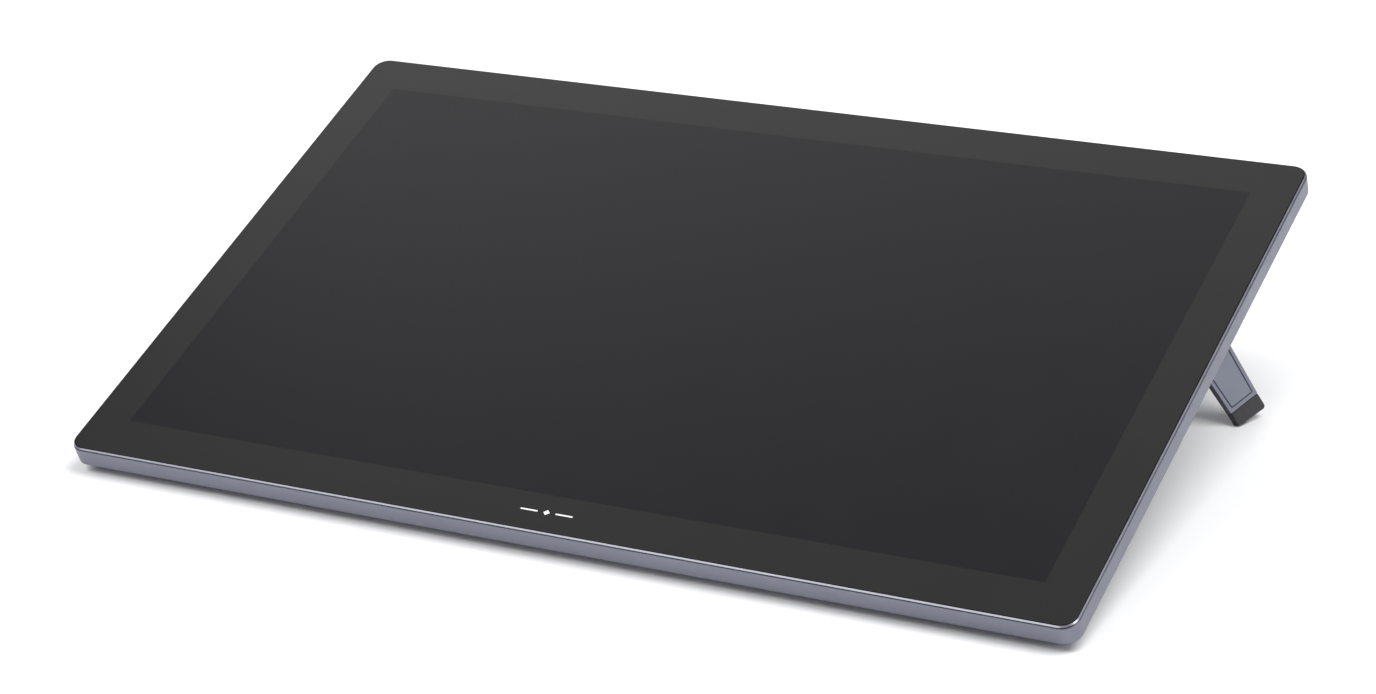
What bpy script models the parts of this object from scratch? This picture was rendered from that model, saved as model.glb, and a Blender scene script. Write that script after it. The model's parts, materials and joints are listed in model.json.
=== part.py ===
"""Pen drawing tablet: a 27-inch class pen display on two fold-out legs.

Tablet pieces are modelled lying flat, in millimetres: X to the right, Y up the screen, Z out of
the glass, with the middle of the glass surface at zero. The empty tablet_frame then tilts them.
Each leg is modelled in the frame of its own hinge: X from the pin to the foot, Y along the pin,
Z out of the leg's metal face.
"""

import math

import bmesh
import bpy
from mathutils import Matrix, Vector

MM = 0.001

# Driving dimensions, in millimetres and degrees.
TILT = 18.0
OUTLINE_X = 326.05  # half width of the outside
OUTLINE_Y = 197.65  # half height of the outside
OUTLINE_RADIUS = 10.3
CORNER_STEPS = 7
BACK_Z = -21.0
INNER_BACK_Z = -19.5
WALL = 1.5
WALL_BOTTOM_Z = -12.6
SLOPE_INSET = 10.0
GLASS_INSET = 1.45
GLASS_THICKNESS = 1.1
ACTIVE_X = 298.35  # half size of the picture
ACTIVE_Y = 167.85
GAP = 0.3

LEG_TURN = 24.0  # the pin's angle away from the screen's Y axis
LEG_DROP = 54.2  # how far the open leg drops away from the screen's plane
HINGE_X = 250.3
HINGE_Y = 121.2
HINGE_Z = -18.5
LEG_HALF_THICKNESS = 2.5
LEG_ROOT_HALF_WIDTH = 16.0
LEG_METAL_LENGTH = 104.4
LEG_TIP_HALF_WIDTH = 11.3
LEG_LENGTH = 114.2
LEG_END_SLANT = 0.04  # how much the rubber end leans, outer side longer
LEG_BACKING_Z = 1.3
TONGUE_TOP_Z = 0.9
TONGUE_BOTTOM_Z = -1.2
POCKET_CLEARANCE = 0.8
POCKET_FLOOR_Z = -15.4
POCKET_OUTER_END = 5.8
HINGE_FLOOR_Z = -14.2
FINGER_RADIUS = 9.0
FINGER_X = LEG_LENGTH + 2.5  # middle of the finger scoop, from the pin
PIN_RADIUS = 1.25
PIN_HOLE_RADIUS = 1.32
BARREL_HALF_LENGTH = 10.0
EAR_INNER = 10.8
EAR_OUTER = 12.4

FRONT_FOOT_Y = -184.2
FRONT_FOOT_Z = -23.1
FRONT_FOOT_X = 220.0
FRONT_FOOT_HALF_LENGTH = 50.0
REAR_PAD_X = 286.0
REAR_PAD_Y = 150.0
REAR_PAD_RADIUS = 9.0

SCREW_INSET = 15.0
VESA_HALF = 50.0

BAY_X = 52.0
BAY_FRONT_Y = 79.0
BAY_BACK_Y = 121.0
BAY_FLOOR_Z = -13.6
PORT_TOP_Z = -14.6
# Ports from left to right: name, middle X, half width, height, is it round inside.
PORTS = (
    ("power_socket", -38.0, 4.6, 4.6, True),
    ("video_socket_large", -20.0, 8.2, 4.6, False),
    ("video_socket_small", 3.0, 7.6, 4.6, False),
    ("data_socket_left", 21.0, 4.6, 3.2, False),
    ("data_socket_right", 36.0, 4.6, 3.2, False),
)

BUTTON_Z = -7.0
# Buttons from left to right on the top edge: name, middle X, half length.
BUTTONS = (
    ("power_button", 262.0, 6.0),
    ("menu_button_down", 232.0, 5.0),
    ("menu_button_up", 216.0, 5.0),
)

UP = Vector((0.0, math.sin(math.radians(TILT)), math.cos(math.radians(TILT))))
GROUND = Vector((0.0, FRONT_FOOT_Y, FRONT_FOOT_Z)).dot(UP)


def clear_scene():
    for item in list(bpy.data.objects):
        bpy.data.objects.remove(item, do_unlink=True)


def new_collection(name):
    collection = bpy.data.collections.new(name)
    bpy.context.scene.collection.children.link(collection)
    return collection


def new_finish(name, colour, roughness, metallic=0.0, alpha=1.0):
    material = bpy.data.materials.new(name)
    material.use_nodes = True
    shader = material.node_tree.nodes["Principled BSDF"]
    shader.inputs["Base Color"].default_value = (*colour, 1.0)
    shader.inputs["Roughness"].default_value = roughness
    shader.inputs["Metallic"].default_value = metallic
    shader.inputs["Alpha"].default_value = alpha
    return material


def new_empty(name, parent=None, matrix=None):
    empty = bpy.data.objects.new(name, None)
    PARTS.objects.link(empty)
    empty.parent = parent
    if matrix:
        empty.matrix_local = matrix
    return empty


# Shapes are gathered in a bmesh in millimetres.


def add_box(bm, low, high):
    low, high = Vector(low), Vector(high)
    place = Matrix.Translation((low + high) / 2) @ Matrix.Diagonal((*(high - low), 1.0))
    bmesh.ops.create_cube(bm, size=1.0, matrix=place)


def add_cylinder(bm, start, end, radius, segments=20, end_radius=None):
    """A cylinder or cone from one axis point to another."""
    start, end = Vector(start), Vector(end)
    turn = (end - start).to_track_quat("Z", "Y").to_matrix().to_4x4()
    bmesh.ops.create_cone(
        bm,
        cap_ends=True,
        segments=segments,
        radius1=radius,
        radius2=radius if end_radius is None else end_radius,
        depth=(end - start).length,
        matrix=Matrix.Translation((start + end) / 2) @ turn,
    )


def add_prism(bm, outline, low, high, axis="Z"):
    """A flat outline extruded from low to high along an axis. The outline of an X or Y prism is
    given as (Y, Z) or (X, Z) pairs."""
    place = {
        "X": lambda a, b, c: (c, a, b),
        "Y": lambda a, b, c: (a, c, b),
        "Z": lambda a, b, c: (a, b, c),
    }[axis]
    face = bm.faces.new([bm.verts.new(place(a, b, low)) for a, b in outline])
    top = bmesh.ops.extrude_face_region(bm, geom=[face])["geom"]
    step = Vector(place(0.0, 0.0, high - low))
    verts = [item for item in top if isinstance(item, bmesh.types.BMVert)]
    bmesh.ops.translate(bm, verts=verts, vec=step)


def arc(centre, radius, start, end, steps):
    """Points on an arc, in degrees anticlockwise, both ends included."""
    angles = [math.radians(start + (end - start) * i / steps) for i in range(steps + 1)]
    return [(centre[0] + radius * math.cos(a), centre[1] + radius * math.sin(a)) for a in angles]


def rounded_outline(half_x, half_y, radius, steps=CORNER_STEPS):
    points = []
    for sign_x, sign_y, start in ((1, 1, 0), (-1, 1, 90), (-1, -1, 180), (1, -1, 270)):
        centre = (sign_x * (half_x - radius), sign_y * (half_y - radius))
        points += arc(centre, radius, start, start + 90, steps)
    return points


def inset_loop(inset, z):
    """The tablet's outline drawn in by an inset, at one depth."""
    radius = max(OUTLINE_RADIUS - inset, 0.8)
    outline = rounded_outline(OUTLINE_X - inset, OUTLINE_Y - inset, radius)
    return [(x, y, z) for x, y in outline]


def add_skin(bm, loops, ring=False):
    """A surface through loops of equally many points: a ring, or a solid with flat ends."""
    rows = [[bm.verts.new(point) for point in loop] for loop in loops]
    pairs = list(zip(rows, rows[1:]))
    if ring:
        pairs.append((rows[-1], rows[0]))
    for low, high in pairs:
        for i in range(len(low)):
            j = (i + 1) % len(low)
            bm.faces.new((low[i], low[j], high[j], high[i]))
    if not ring:
        bm.faces.new(reversed(rows[0]))
        bm.faces.new(rows[-1])


def finish_mesh(bm, name, matrix=None):
    bmesh.ops.recalc_face_normals(bm, faces=bm.faces)
    if matrix:
        bm.transform(matrix)
    bm.transform(Matrix.Scale(MM, 4))
    mesh = bpy.data.meshes.new(name)
    bm.to_mesh(mesh)
    bm.free()
    return mesh


def new_part(name, bm, finish, parent, matrix=None):
    mesh = finish_mesh(bm, name, matrix)
    mesh.materials.append(finish)
    mesh.shade_smooth()
    mesh.set_sharp_from_angle(angle=math.radians(35))
    part = bpy.data.objects.new(name, mesh)
    PARTS.objects.link(part)
    part.parent = parent
    return part


def combine(part, name, bm, operation="DIFFERENCE", matrix=None):
    """Cuts, joins or intersects a part with a helper solid in the same parent's frame."""
    cutter = bpy.data.objects.new(name, finish_mesh(bm, name, matrix))
    CUTTERS.objects.link(cutter)
    cutter.parent = part.parent
    cutter.hide_render = True
    cutter.display_type = "WIRE"
    boolean = part.modifiers.new(name, "BOOLEAN")
    boolean.operation = operation
    boolean.solver = "EXACT"
    boolean.object = cutter


def box_part(name, low, high, finish, parent):
    bm = bmesh.new()
    add_box(bm, low, high)
    return new_part(name, bm, finish, parent)


def screw_places():
    side, end = OUTLINE_X - SCREW_INSET, OUTLINE_Y - SCREW_INSET
    columns = ((-side, (-end, 0, end)), (0, (-end, end)), (side, (-end, 0, end)))
    return [(x, y) for x, rows in columns for y in rows]


def vesa_places():
    return [(x, y) for x in (-VESA_HALF, VESA_HALF) for y in (-VESA_HALF, VESA_HALF)]


# Screen side: glass, its tape and the metal ring that holds them.


def make_cover_glass(tablet):
    bm = bmesh.new()
    edge = 0.25
    add_skin(bm, [
        inset_loop(GLASS_INSET, -GLASS_THICKNESS),
        inset_loop(GLASS_INSET, -edge),
        inset_loop(GLASS_INSET + edge, 0.0),
    ])
    new_part("cover_glass", bm, FINISH["glass"], tablet)


def make_glass_adhesive(tablet):
    top, bottom = -1.3, -1.5
    bm = bmesh.new()
    add_skin(bm, [inset_loop(2.6, top), inset_loop(12.0, top), inset_loop(12.0, bottom),
                  inset_loop(2.6, bottom)], ring=True)
    new_part("glass_adhesive", bm, FINISH["black_tape"], tablet)


def make_front_frame(tablet):
    """A ring with a 45-degree outer chamfer, an inner shelf and eight screw bosses."""
    shelf_top, shelf_bottom, shelf_inset = -1.7, -3.0, 21.0
    section = ((0.12, -1.22), (0.12, -1.05), (1.05, -0.12), (1.17, -0.12), (1.17, -1.3), (2.3, -1.3),
               (2.3, shelf_top), (shelf_inset, shelf_top), (shelf_inset, shelf_bottom),
               (1.8, shelf_bottom), (1.8, -1.95), (0.6, -1.95), (0.6, -1.22))
    bm = bmesh.new()
    add_skin(bm, [inset_loop(inset, z) for inset, z in section], ring=True)
    frame = new_part("front_frame", bm, FINISH["aluminium"], tablet)
    bosses, holes = bmesh.new(), bmesh.new()
    for x, y in screw_places():
        add_cylinder(bosses, (x, y, -2.4), (x, y, -19.2), 2.8, 14)
        add_cylinder(holes, (x, y, -10.5), (x, y, -20.0), 1.35, 12)
    combine(frame, "boss_shapes", bosses, "UNION")
    combine(frame, "boss_holes", holes)


# Display stack, from the panel back to the pen sensor's shield.


def make_display_stack(tablet):
    # Name, margin past the picture along X and Y, front depth, back depth, finish.
    layers = (
        ("lcd_cell", 3.6, 3.6, -1.4, -2.9, "panel"),
        ("diffuser_film", 2.1, 2.1, -3.2, -4.0, "film"),
        ("light_guide_plate", 1.1, -0.9, -4.3, -7.3, "clear_acrylic"),
        ("reflector_sheet", 1.6, 1.6, -7.6, -7.9, "film"),
        ("digitizer_board", 2.6, 2.6, -9.5, -10.7, "circuit_green"),
        ("shield_plate", 3.6, 3.6, -11.0, -11.5, "plated_steel"),
    )
    for name, margin_x, margin_y, top, bottom, finish in layers:
        half_x, half_y = ACTIVE_X + margin_x, ACTIVE_Y + margin_y
        box_part(name, (-half_x, -half_y, bottom), (half_x, half_y, top), FINISH[finish], tablet)
    guide_edge = -ACTIVE_Y + 0.6
    box_part("led_light_bar", (-ACTIVE_X, guide_edge - 1.8, -7.3), (ACTIVE_X, guide_edge, -4.3),
             FINISH["circuit_green"], tablet)


def make_backlight_tray(tablet):
    """A shallow steel tray round the films and the light guide, open to the panel."""
    half_x, half_y, wall = ACTIVE_X + 4.8, ACTIVE_Y + 4.8, 0.9
    loops = []
    for inset, z in ((0.0, -9.2), (0.0, -3.3), (wall, -3.3), (wall, -8.2)):
        outline = rounded_outline(half_x - inset, half_y - inset, 2.0 - inset, 2)
        loops.append([(x, y, z) for x, y in outline])
    bm = bmesh.new()
    add_skin(bm, loops)
    new_part("backlight_tray", bm, FINISH["plated_steel"], tablet)


# Rear cover with its pockets, port bay and holes.


def pocket_place(side):
    """Places the frame of a folded leg: X runs from the pin towards the foot, in the back's plane."""
    angle = 180 - LEG_TURN if side > 0 else LEG_TURN
    return Matrix.Translation((side * HINGE_X, HINGE_Y, 0.0)) @ Matrix.Rotation(math.radians(angle), 4, "Z")


def leg_half_width(x):
    return LEG_ROOT_HALF_WIDTH + (LEG_TIP_HALF_WIDTH - LEG_ROOT_HALF_WIDTH) * x / LEG_METAL_LENGTH


def pocket_outline(margin):
    start, end = -POCKET_OUTER_END - margin, LEG_LENGTH + POCKET_CLEARANCE + margin
    near = leg_half_width(start) + POCKET_CLEARANCE + margin
    far = leg_half_width(end) + POCKET_CLEARANCE + margin
    radius = 3.0
    points = arc((end - radius, far - radius), radius, 0, 90, 4)
    points += arc((start + radius, near - radius), radius, 90, 180, 4)
    points += arc((start + radius, radius - near), radius, 180, 270, 4)
    points += arc((end - radius, radius - far), radius, 270, 360, 4)
    return points


def make_rear_cover(tablet):
    """A tray with upright walls, sloped edges and a flat back."""
    section = (
        (SLOPE_INSET, BACK_Z), (1.6, WALL_BOTTOM_Z - 1.05), (0.75, WALL_BOTTOM_Z - 0.45),
        (0.2, WALL_BOTTOM_Z + 0.4), (0.0, WALL_BOTTOM_Z + 1.4), (0.0, -1.7), (0.1, -1.6), (0.35, -1.6),
        (0.35, -2.2), (WALL, -2.2), (WALL, WALL_BOTTOM_Z + 0.7), (SLOPE_INSET + 0.6, INNER_BACK_Z),
    )
    bm = bmesh.new()
    add_skin(bm, [inset_loop(inset, z) for inset, z in section])
    cover = new_part("rear_cover", bm, FINISH["aluminium"], tablet)
    floor = 1.5
    sink = -20.2  # inside the back's thickness, so that what is joined there meets it
    for side in (-1, 1):
        where = "right" if side > 0 else "left"
        shapes = (("housing", "UNION", floor, sink, POCKET_FLOOR_Z + floor, HINGE_FLOOR_Z + 1.2),
                  ("pocket", "DIFFERENCE", 0.0, BACK_Z - 1.0, POCKET_FLOOR_Z, HINGE_FLOOR_Z))
        for label, operation, margin, low, high, hinge_high in shapes:
            bm = bmesh.new()
            add_prism(bm, pocket_outline(margin), low, high)
            combine(cover, f"{where}_leg_{label}", bm, operation, pocket_place(side))
            bm = bmesh.new()
            start, half = -POCKET_OUTER_END - margin + 0.4, 13.6 + margin
            add_box(bm, (start, -half, low + 0.3), (7.6 + margin, half, hinge_high))
            combine(cover, f"{where}_hinge_{label}", bm, operation, pocket_place(side))
            bm = bmesh.new()
            add_cylinder(bm, (FINGER_X, 0, low + 0.1), (FINGER_X, 0, high - 0.1), FINGER_RADIUS + margin, 20)
            combine(cover, f"{where}_finger_{label}", bm, operation, pocket_place(side))
    bm = bmesh.new()
    add_box(bm, (-BAY_X - 1.8, BAY_FRONT_Y - 1.8, sink), (BAY_X + 1.8, BAY_BACK_Y + 1.8, BAY_FLOOR_Z + 1.5))
    combine(cover, "bay_housing", bm, "UNION")
    bm = bmesh.new()
    add_box(bm, (-BAY_X, BAY_FRONT_Y, BACK_Z - 1.0), (BAY_X, BAY_BACK_Y, BAY_FLOOR_Z))
    combine(cover, "bay_hollow", bm)
    bm = bmesh.new()
    add_box(bm, (-47.0, BAY_FRONT_Y - 3.0, -19.4), (47.0, BAY_FRONT_Y + 1.0, BAY_FLOOR_Z - 0.2))
    combine(cover, "bay_window", bm)
    bm = bmesh.new()
    for x, y in screw_places():
        add_cylinder(bm, (x, y, -20.2), (x, y, BACK_Z - 1.0), 2.7, 16)
    combine(cover, "screw_head_seats", bm)
    bm = bmesh.new()
    for x, y in screw_places():
        add_cylinder(bm, (x, y, -19.0), (x, y, BACK_Z - 1.0), 1.5, 12)
    for x, y in vesa_places():
        add_cylinder(bm, (x, y, -19.0), (x, y, BACK_Z - 1.0), 2.4, 16)
    combine(cover, "screw_holes", bm)
    bm = bmesh.new()
    for step in range(-8, 9):
        add_box(bm, (step * 6.5 - 1.1, 146.0, -22.0), (step * 6.5 + 1.1, 160.0, -19.0))
    combine(cover, "vent_slots", bm)
    bm = bmesh.new()
    for name, x, half in BUTTONS:
        add_prism(bm, offset(rounded_outline(half + 0.3, 2.0, 1.9, 4), x, BUTTON_Z), OUTLINE_Y - 3.0,
                  OUTLINE_Y + 1.0, "Y")
    combine(cover, "button_slots", bm)
    bm = bmesh.new()
    for side in (-1, 1):
        seat = rounded_outline(FRONT_FOOT_HALF_LENGTH + GAP, 5.2 + GAP, 5.2, 6)
        add_prism(bm, offset(seat, side * FRONT_FOOT_X, -182.2), -20.4, BACK_Z - 1.0)
        pad = (side * REAR_PAD_X, REAR_PAD_Y)
        add_cylinder(bm, (*pad, -20.4), (*pad, BACK_Z - 1.0), REAR_PAD_RADIUS + GAP, 24)
    combine(cover, "foot_seats", bm)


def offset(outline, dx, dy):
    return [(x + dx, y + dy) for x, y in outline]


def make_rear_screws(tablet):
    for number, (x, y) in enumerate(screw_places(), 1):
        bm = bmesh.new()
        add_cylinder(bm, (x, y, -20.45), (x, y, -20.95), 2.3, 16, 2.0)
        screw = new_part(f"rear_screw_{number}", bm, FINISH["dark_steel"], tablet)
        shank, recess = bmesh.new(), bmesh.new()
        add_cylinder(shank, (x, y, -12.0), (x, y, -20.7), 1.15, 12)
        add_cylinder(recess, (x, y, -20.65), (x, y, -22.0), 0.95, 6)
        combine(screw, f"shank_{number}", shank, "UNION")
        combine(screw, f"recess_{number}", recess)


# Feet and pads under the back.


def ground_z(y):
    """Depth at which the tabletop passes under a line of the tilted tablet."""
    return (GROUND - y * UP.y) / UP.z


def make_front_feet(tablet):
    """A rubber ridge on each side, flat where it stands on the tabletop."""
    middle, half = -182.2, 5.2
    low, high = -186.3, -181.8
    profile = [(middle - half, -20.7), (middle - half, ground_z(low) + 0.5), (low, ground_z(low)),
               (high, ground_z(high)), (high + 2.0, ground_z(high) + 0.1), (high + 3.6, ground_z(high) + 0.9),
               (middle + half, ground_z(high) + 2.2), (middle + half, -20.7)]
    for side in (-1, 1):
        bm = bmesh.new()
        reach = FRONT_FOOT_HALF_LENGTH + 1.0
        add_prism(bm, profile, side * FRONT_FOOT_X - reach, side * FRONT_FOOT_X + reach, "X")
        foot = new_part("front_foot_right" if side > 0 else "front_foot_left", bm, FINISH["rubber"], tablet)
        bm = bmesh.new()
        plan = rounded_outline(FRONT_FOOT_HALF_LENGTH, half - 0.05, half - 0.2, 6)
        add_prism(bm, offset(plan, side * FRONT_FOOT_X, middle), -30.0, -15.0)
        combine(foot, f"{foot.name}_plan", bm, "INTERSECT")


def make_rear_pads(tablet):
    for side in (-1, 1):
        place = (side * REAR_PAD_X, REAR_PAD_Y)
        bm = bmesh.new()
        add_cylinder(bm, (*place, -20.7), (*place, -23.6), REAR_PAD_RADIUS, 24)
        pad = new_part("rear_pad_right" if side > 0 else "rear_pad_left", bm, FINISH["rubber"], tablet)
        rounding = pad.modifiers.new("rounding", "BEVEL")
        rounding.width = 0.8 * MM
        rounding.segments = 2


# Legs and their hinges.


def leg_place(side):
    """Frame of an open leg: X to the foot, Y along the pin, Z out of the metal face."""
    turn, drop = math.radians(LEG_TURN), math.radians(LEG_DROP)
    outward, inward = math.cos(drop) * math.cos(turn), math.cos(drop) * math.sin(turn)
    along = Vector((side * outward, -inward, -math.sin(drop)))
    pin = Vector((math.sin(turn), side * math.cos(turn), 0.0))
    face = along.cross(pin)
    place = Matrix((along, pin, face)).transposed().to_4x4()
    place.translation = Vector((side * HINGE_X, HINGE_Y, HINGE_Z))
    return place


def mirrored(half_outline):
    """Closes an outline that is given for positive Y only."""
    return half_outline + [(x, -y) for x, y in reversed(half_outline)]


def make_leg_body(axis, where):
    radius, thick, metal = LEG_HALF_THICKNESS, LEG_HALF_THICKNESS, LEG_METAL_LENGTH
    tongue = metal + 5.0
    profile = arc((0.0, 0.0), radius, 270, 90, 12)
    profile += [(3.9, thick), (3.9, LEG_BACKING_Z), (metal, LEG_BACKING_Z), (metal, TONGUE_TOP_Z),
                (tongue, TONGUE_TOP_Z), (tongue, TONGUE_BOTTOM_Z), (metal, TONGUE_BOTTOM_Z), (metal, -thick)]
    bm = bmesh.new()
    add_prism(bm, profile, -20.0, 20.0, "Y")
    body = new_part(f"{where}_leg_body", bm, FINISH["dark_plastic"], axis)
    plan = mirrored([(-4.0, BARREL_HALF_LENGTH), (5.0, BARREL_HALF_LENGTH), (5.0, leg_half_width(5.0)),
                     (metal, LEG_TIP_HALF_WIDTH), (metal, 7.0), (tongue + 1.0, 7.0)])
    bm = bmesh.new()
    add_prism(bm, plan, -5.0, 5.0)
    combine(body, f"{where}_leg_plan", bm, "INTERSECT")
    bm = bmesh.new()
    add_cylinder(bm, (0, -20, 0), (0, 20, 0), PIN_HOLE_RADIUS, 24)
    combine(body, f"{where}_pin_hole", bm)


def make_leg_plate(axis, where):
    low, high = LEG_BACKING_Z + 0.2, LEG_HALF_THICKNESS
    start, end, rim = 5.2, LEG_METAL_LENGTH, 3.0
    bm = bmesh.new()
    add_prism(bm, mirrored([(start, leg_half_width(start)), (end, LEG_TIP_HALF_WIDTH)]), low, high)
    plate = new_part(f"{where}_leg_plate", bm, FINISH["aluminium"], axis)
    inner = mirrored([(start + 4.0, leg_half_width(start) - rim), (end - rim, LEG_TIP_HALF_WIDTH - rim)])
    bm = bmesh.new()
    add_prism(bm, inner, high - 0.3, high + 1.0)
    combine(plate, f"{where}_plate_panel", bm)


def make_leg_foot(axis, where, side):
    """A rubber cap on the leg's end, cut flat where it stands on the tabletop."""
    start, radius, thick, width = LEG_METAL_LENGTH + GAP, 2.2, LEG_HALF_THICKNESS, LEG_TIP_HALF_WIDTH
    outline = [(start, width)]
    for end in (1, -1):
        reach = LEG_LENGTH - LEG_END_SLANT * width * (1 - side * end)
        corner = arc((reach - radius, width - radius), radius, 90, 0, 4)
        outline += corner if end > 0 else [(x, -y) for x, y in reversed(corner)]
    outline.append((start, -width))
    bm = bmesh.new()
    add_prism(bm, outline, -thick, thick)
    foot = new_part(f"{where}_leg_foot", bm, FINISH["rubber"], axis)
    bm = bmesh.new()
    add_box(bm, (start - 1.0, -7.25, TONGUE_BOTTOM_Z - 0.25), (start + 5.0, 7.25, TONGUE_TOP_Z + 0.25))
    combine(foot, f"{where}_foot_socket", bm)
    place = leg_place(side)
    down = place.to_3x3().transposed() @ -UP
    height = place.translation.dot(UP) - GROUND
    facing = Matrix.Translation(down * height) @ down.to_track_quat("Z", "Y").to_matrix().to_4x4()
    bm = bmesh.new()
    add_box(bm, (-60, -60, 0), (60, 60, 40))
    combine(foot, f"{where}_tabletop", bm, "DIFFERENCE", facing)


def make_hinge(tablet, side, where):
    """A steel bracket on the pocket's floor, a pin through its ears, and two friction washers."""
    pin_frame = pocket_place(side) @ Matrix.Translation((0, 0, HINGE_Z))
    base_top, base_bottom = HINGE_FLOOR_Z - GAP - HINGE_Z, HINGE_FLOOR_Z - 1.2 - HINGE_Z
    ear_end = -2.2
    section = [(-EAR_OUTER, ear_end), (-EAR_OUTER, base_top), (EAR_OUTER, base_top), (EAR_OUTER, ear_end)]
    section += [(EAR_INNER, ear_end), (EAR_INNER, base_bottom), (-EAR_INNER, base_bottom)]
    section.append((-EAR_INNER, ear_end))
    bm = bmesh.new()
    add_prism(bm, section, -3.2, 3.4, "X")
    bracket = new_part(f"{where}_hinge_bracket", bm, FINISH["dark_steel"], tablet, pin_frame)
    bm = bmesh.new()
    add_cylinder(bm, (0, -20, 0), (0, 20, 0), PIN_HOLE_RADIUS, 24)
    combine(bracket, f"{where}_ear_holes", bm, "DIFFERENCE", pin_frame)
    bm = bmesh.new()
    add_cylinder(bm, (0, -13.0, 0), (0, 13.0, 0), PIN_RADIUS, 24)
    new_part(f"{where}_hinge_pin", bm, FINISH["plated_steel"], tablet, pin_frame)
    for end, label in ((-1, "lower"), (1, "upper")):
        bm = bmesh.new()
        add_cylinder(bm, (0, end * 10.2, 0), (0, end * 10.6, 0), 2.2, 20)
        name = f"{where}_friction_washer_{label}"
        washer = new_part(name, bm, FINISH["spring_steel"], tablet, pin_frame)
        bm = bmesh.new()
        add_cylinder(bm, (0, -20, 0), (0, 20, 0), PIN_HOLE_RADIUS, 24)
        combine(washer, f"{name}_hole", bm, "DIFFERENCE", pin_frame)


def make_legs(tablet):
    for side in (-1, 1):
        where = "right" if side > 0 else "left"
        place = leg_place(side)
        place.translation *= MM
        axis = new_empty(f"{where}_leg_axis", tablet, place)
        make_leg_body(axis, where)
        make_leg_plate(axis, where)
        make_leg_foot(axis, where, side)
        make_hinge(tablet, side, where)


# Electronics behind the shield, and the ports.


def make_boards(tablet):
    board_top, board_bottom = -12.3, -13.8
    box_part("main_board", (-44.0, 4.0, board_bottom), (44.0, BAY_FRONT_Y - 2.2, board_top),
             FINISH["circuit_green"], tablet)
    box_part("digitizer_controller", (72.0, 20.0, board_bottom), (116.0, 52.0, board_top),
             FINISH["circuit_green"], tablet)
    bm = bmesh.new()
    add_box(bm, (-20.0, 12.0, -16.8), (20.0, 42.0, board_bottom - 0.2))
    can = new_part("shield_can", bm, FINISH["plated_steel"], tablet)
    bm = bmesh.new()
    add_box(bm, (-19.6, 12.4, -16.4), (19.6, 41.6, -12.0))
    combine(can, "shield_can_hollow", bm)


def make_vesa_mount(tablet):
    top, bottom = -18.0, -19.2
    plate = box_part("vesa_bracket", (-62.0, -62.0, bottom), (62.0, 62.0, top), FINISH["dark_steel"], tablet)
    bm = bmesh.new()
    for x, y in vesa_places():
        add_cylinder(bm, (x, y, -17.0), (x, y, -20.0), 3.7, 16)
    add_prism(bm, rounded_outline(26.0, 26.0, 6.0, 3), -20.0, -17.0)
    combine(plate, "vesa_bracket_holes", bm)
    for number, (x, y) in enumerate(vesa_places(), 1):
        bm = bmesh.new()
        add_cylinder(bm, (x, y, -14.6), (x, y, bottom), 3.4, 16)
        insert = new_part(f"vesa_insert_{number}", bm, FINISH["brass"], tablet)
        bm = bmesh.new()
        add_cylinder(bm, (x, y, -14.0), (x, y, -20.0), 1.9, 16)
        combine(insert, f"insert_hole_{number}", bm)


def make_ports(tablet):
    front, back = 65.0, BAY_FRONT_Y + 1.3
    openings = bmesh.new()
    for name, x, half, height, is_round in PORTS:
        bottom = PORT_TOP_Z - height
        middle = (PORT_TOP_Z + bottom) / 2
        add_box(openings, (x - half - 0.2, 70.0, bottom - 0.2), (x + half + 0.2, 90.0, PORT_TOP_Z + 0.2))
        bm = bmesh.new()
        add_box(bm, (x - half, front, bottom), (x + half, back, PORT_TOP_Z))
        socket = new_part(name, bm, FINISH["plated_steel"], tablet)
        bm = bmesh.new()
        if is_round:
            add_cylinder(bm, (x, front + 2.0, middle), (x, back + 1.0, middle), height / 2 - 0.4, 16)
        else:
            low = (x - half + 0.5, front + 2.0, bottom + 0.5)
            add_box(bm, low, (x + half - 0.5, back + 1.0, PORT_TOP_Z - 0.5))
        combine(socket, f"{name}_hollow", bm)
        bm = bmesh.new()
        if is_round:
            add_cylinder(bm, (x, front + 1.0, middle), (x, back - 2.0, middle), 0.6, 10)
        else:
            low = (x - half + 1.8, front + 1.0, middle - 0.4)
            add_box(bm, low, (x + half - 1.8, back - 1.2, middle + 0.4))
        combine(socket, f"{name}_tongue", bm, "UNION")
    bezel = box_part("port_bezel", (-49.0, BAY_FRONT_Y + GAP, BACK_Z + 0.4),
                     (49.0, BAY_FRONT_Y + 1.5, BAY_FLOOR_Z - GAP), FINISH["dark_plastic"], tablet)
    combine(bezel, "port_openings", openings)


def make_buttons(tablet):
    """Caps through the top edge, each with a flange behind the wall, and the board they press."""
    board_y = 190.5
    board = box_part("button_board", (205.0, board_y - 1.0, -10.5), (273.0, board_y, -4.0),
                     FINISH["circuit_green"], tablet)
    domes = bmesh.new()
    for name, x, half in BUTTONS:
        add_cylinder(domes, (x, board_y - 0.5, BUTTON_Z), (x, board_y + 1.2, BUTTON_Z), 1.8, 12)
        bm = bmesh.new()
        add_prism(bm, offset(rounded_outline(half, 1.7, 1.6, 4), x, BUTTON_Z), 194.4, OUTLINE_Y + 0.6, "Y")
        cap = new_part(name, bm, FINISH["dark_plastic"], tablet)
        bm = bmesh.new()
        add_box(bm, (x - half - 1.5, 193.4, BUTTON_Z - 2.7), (x + half + 1.5, 195.8, BUTTON_Z + 2.7))
        combine(cap, f"{name}_flange", bm, "UNION")
    combine(board, "switch_domes", domes, "UNION")


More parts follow.
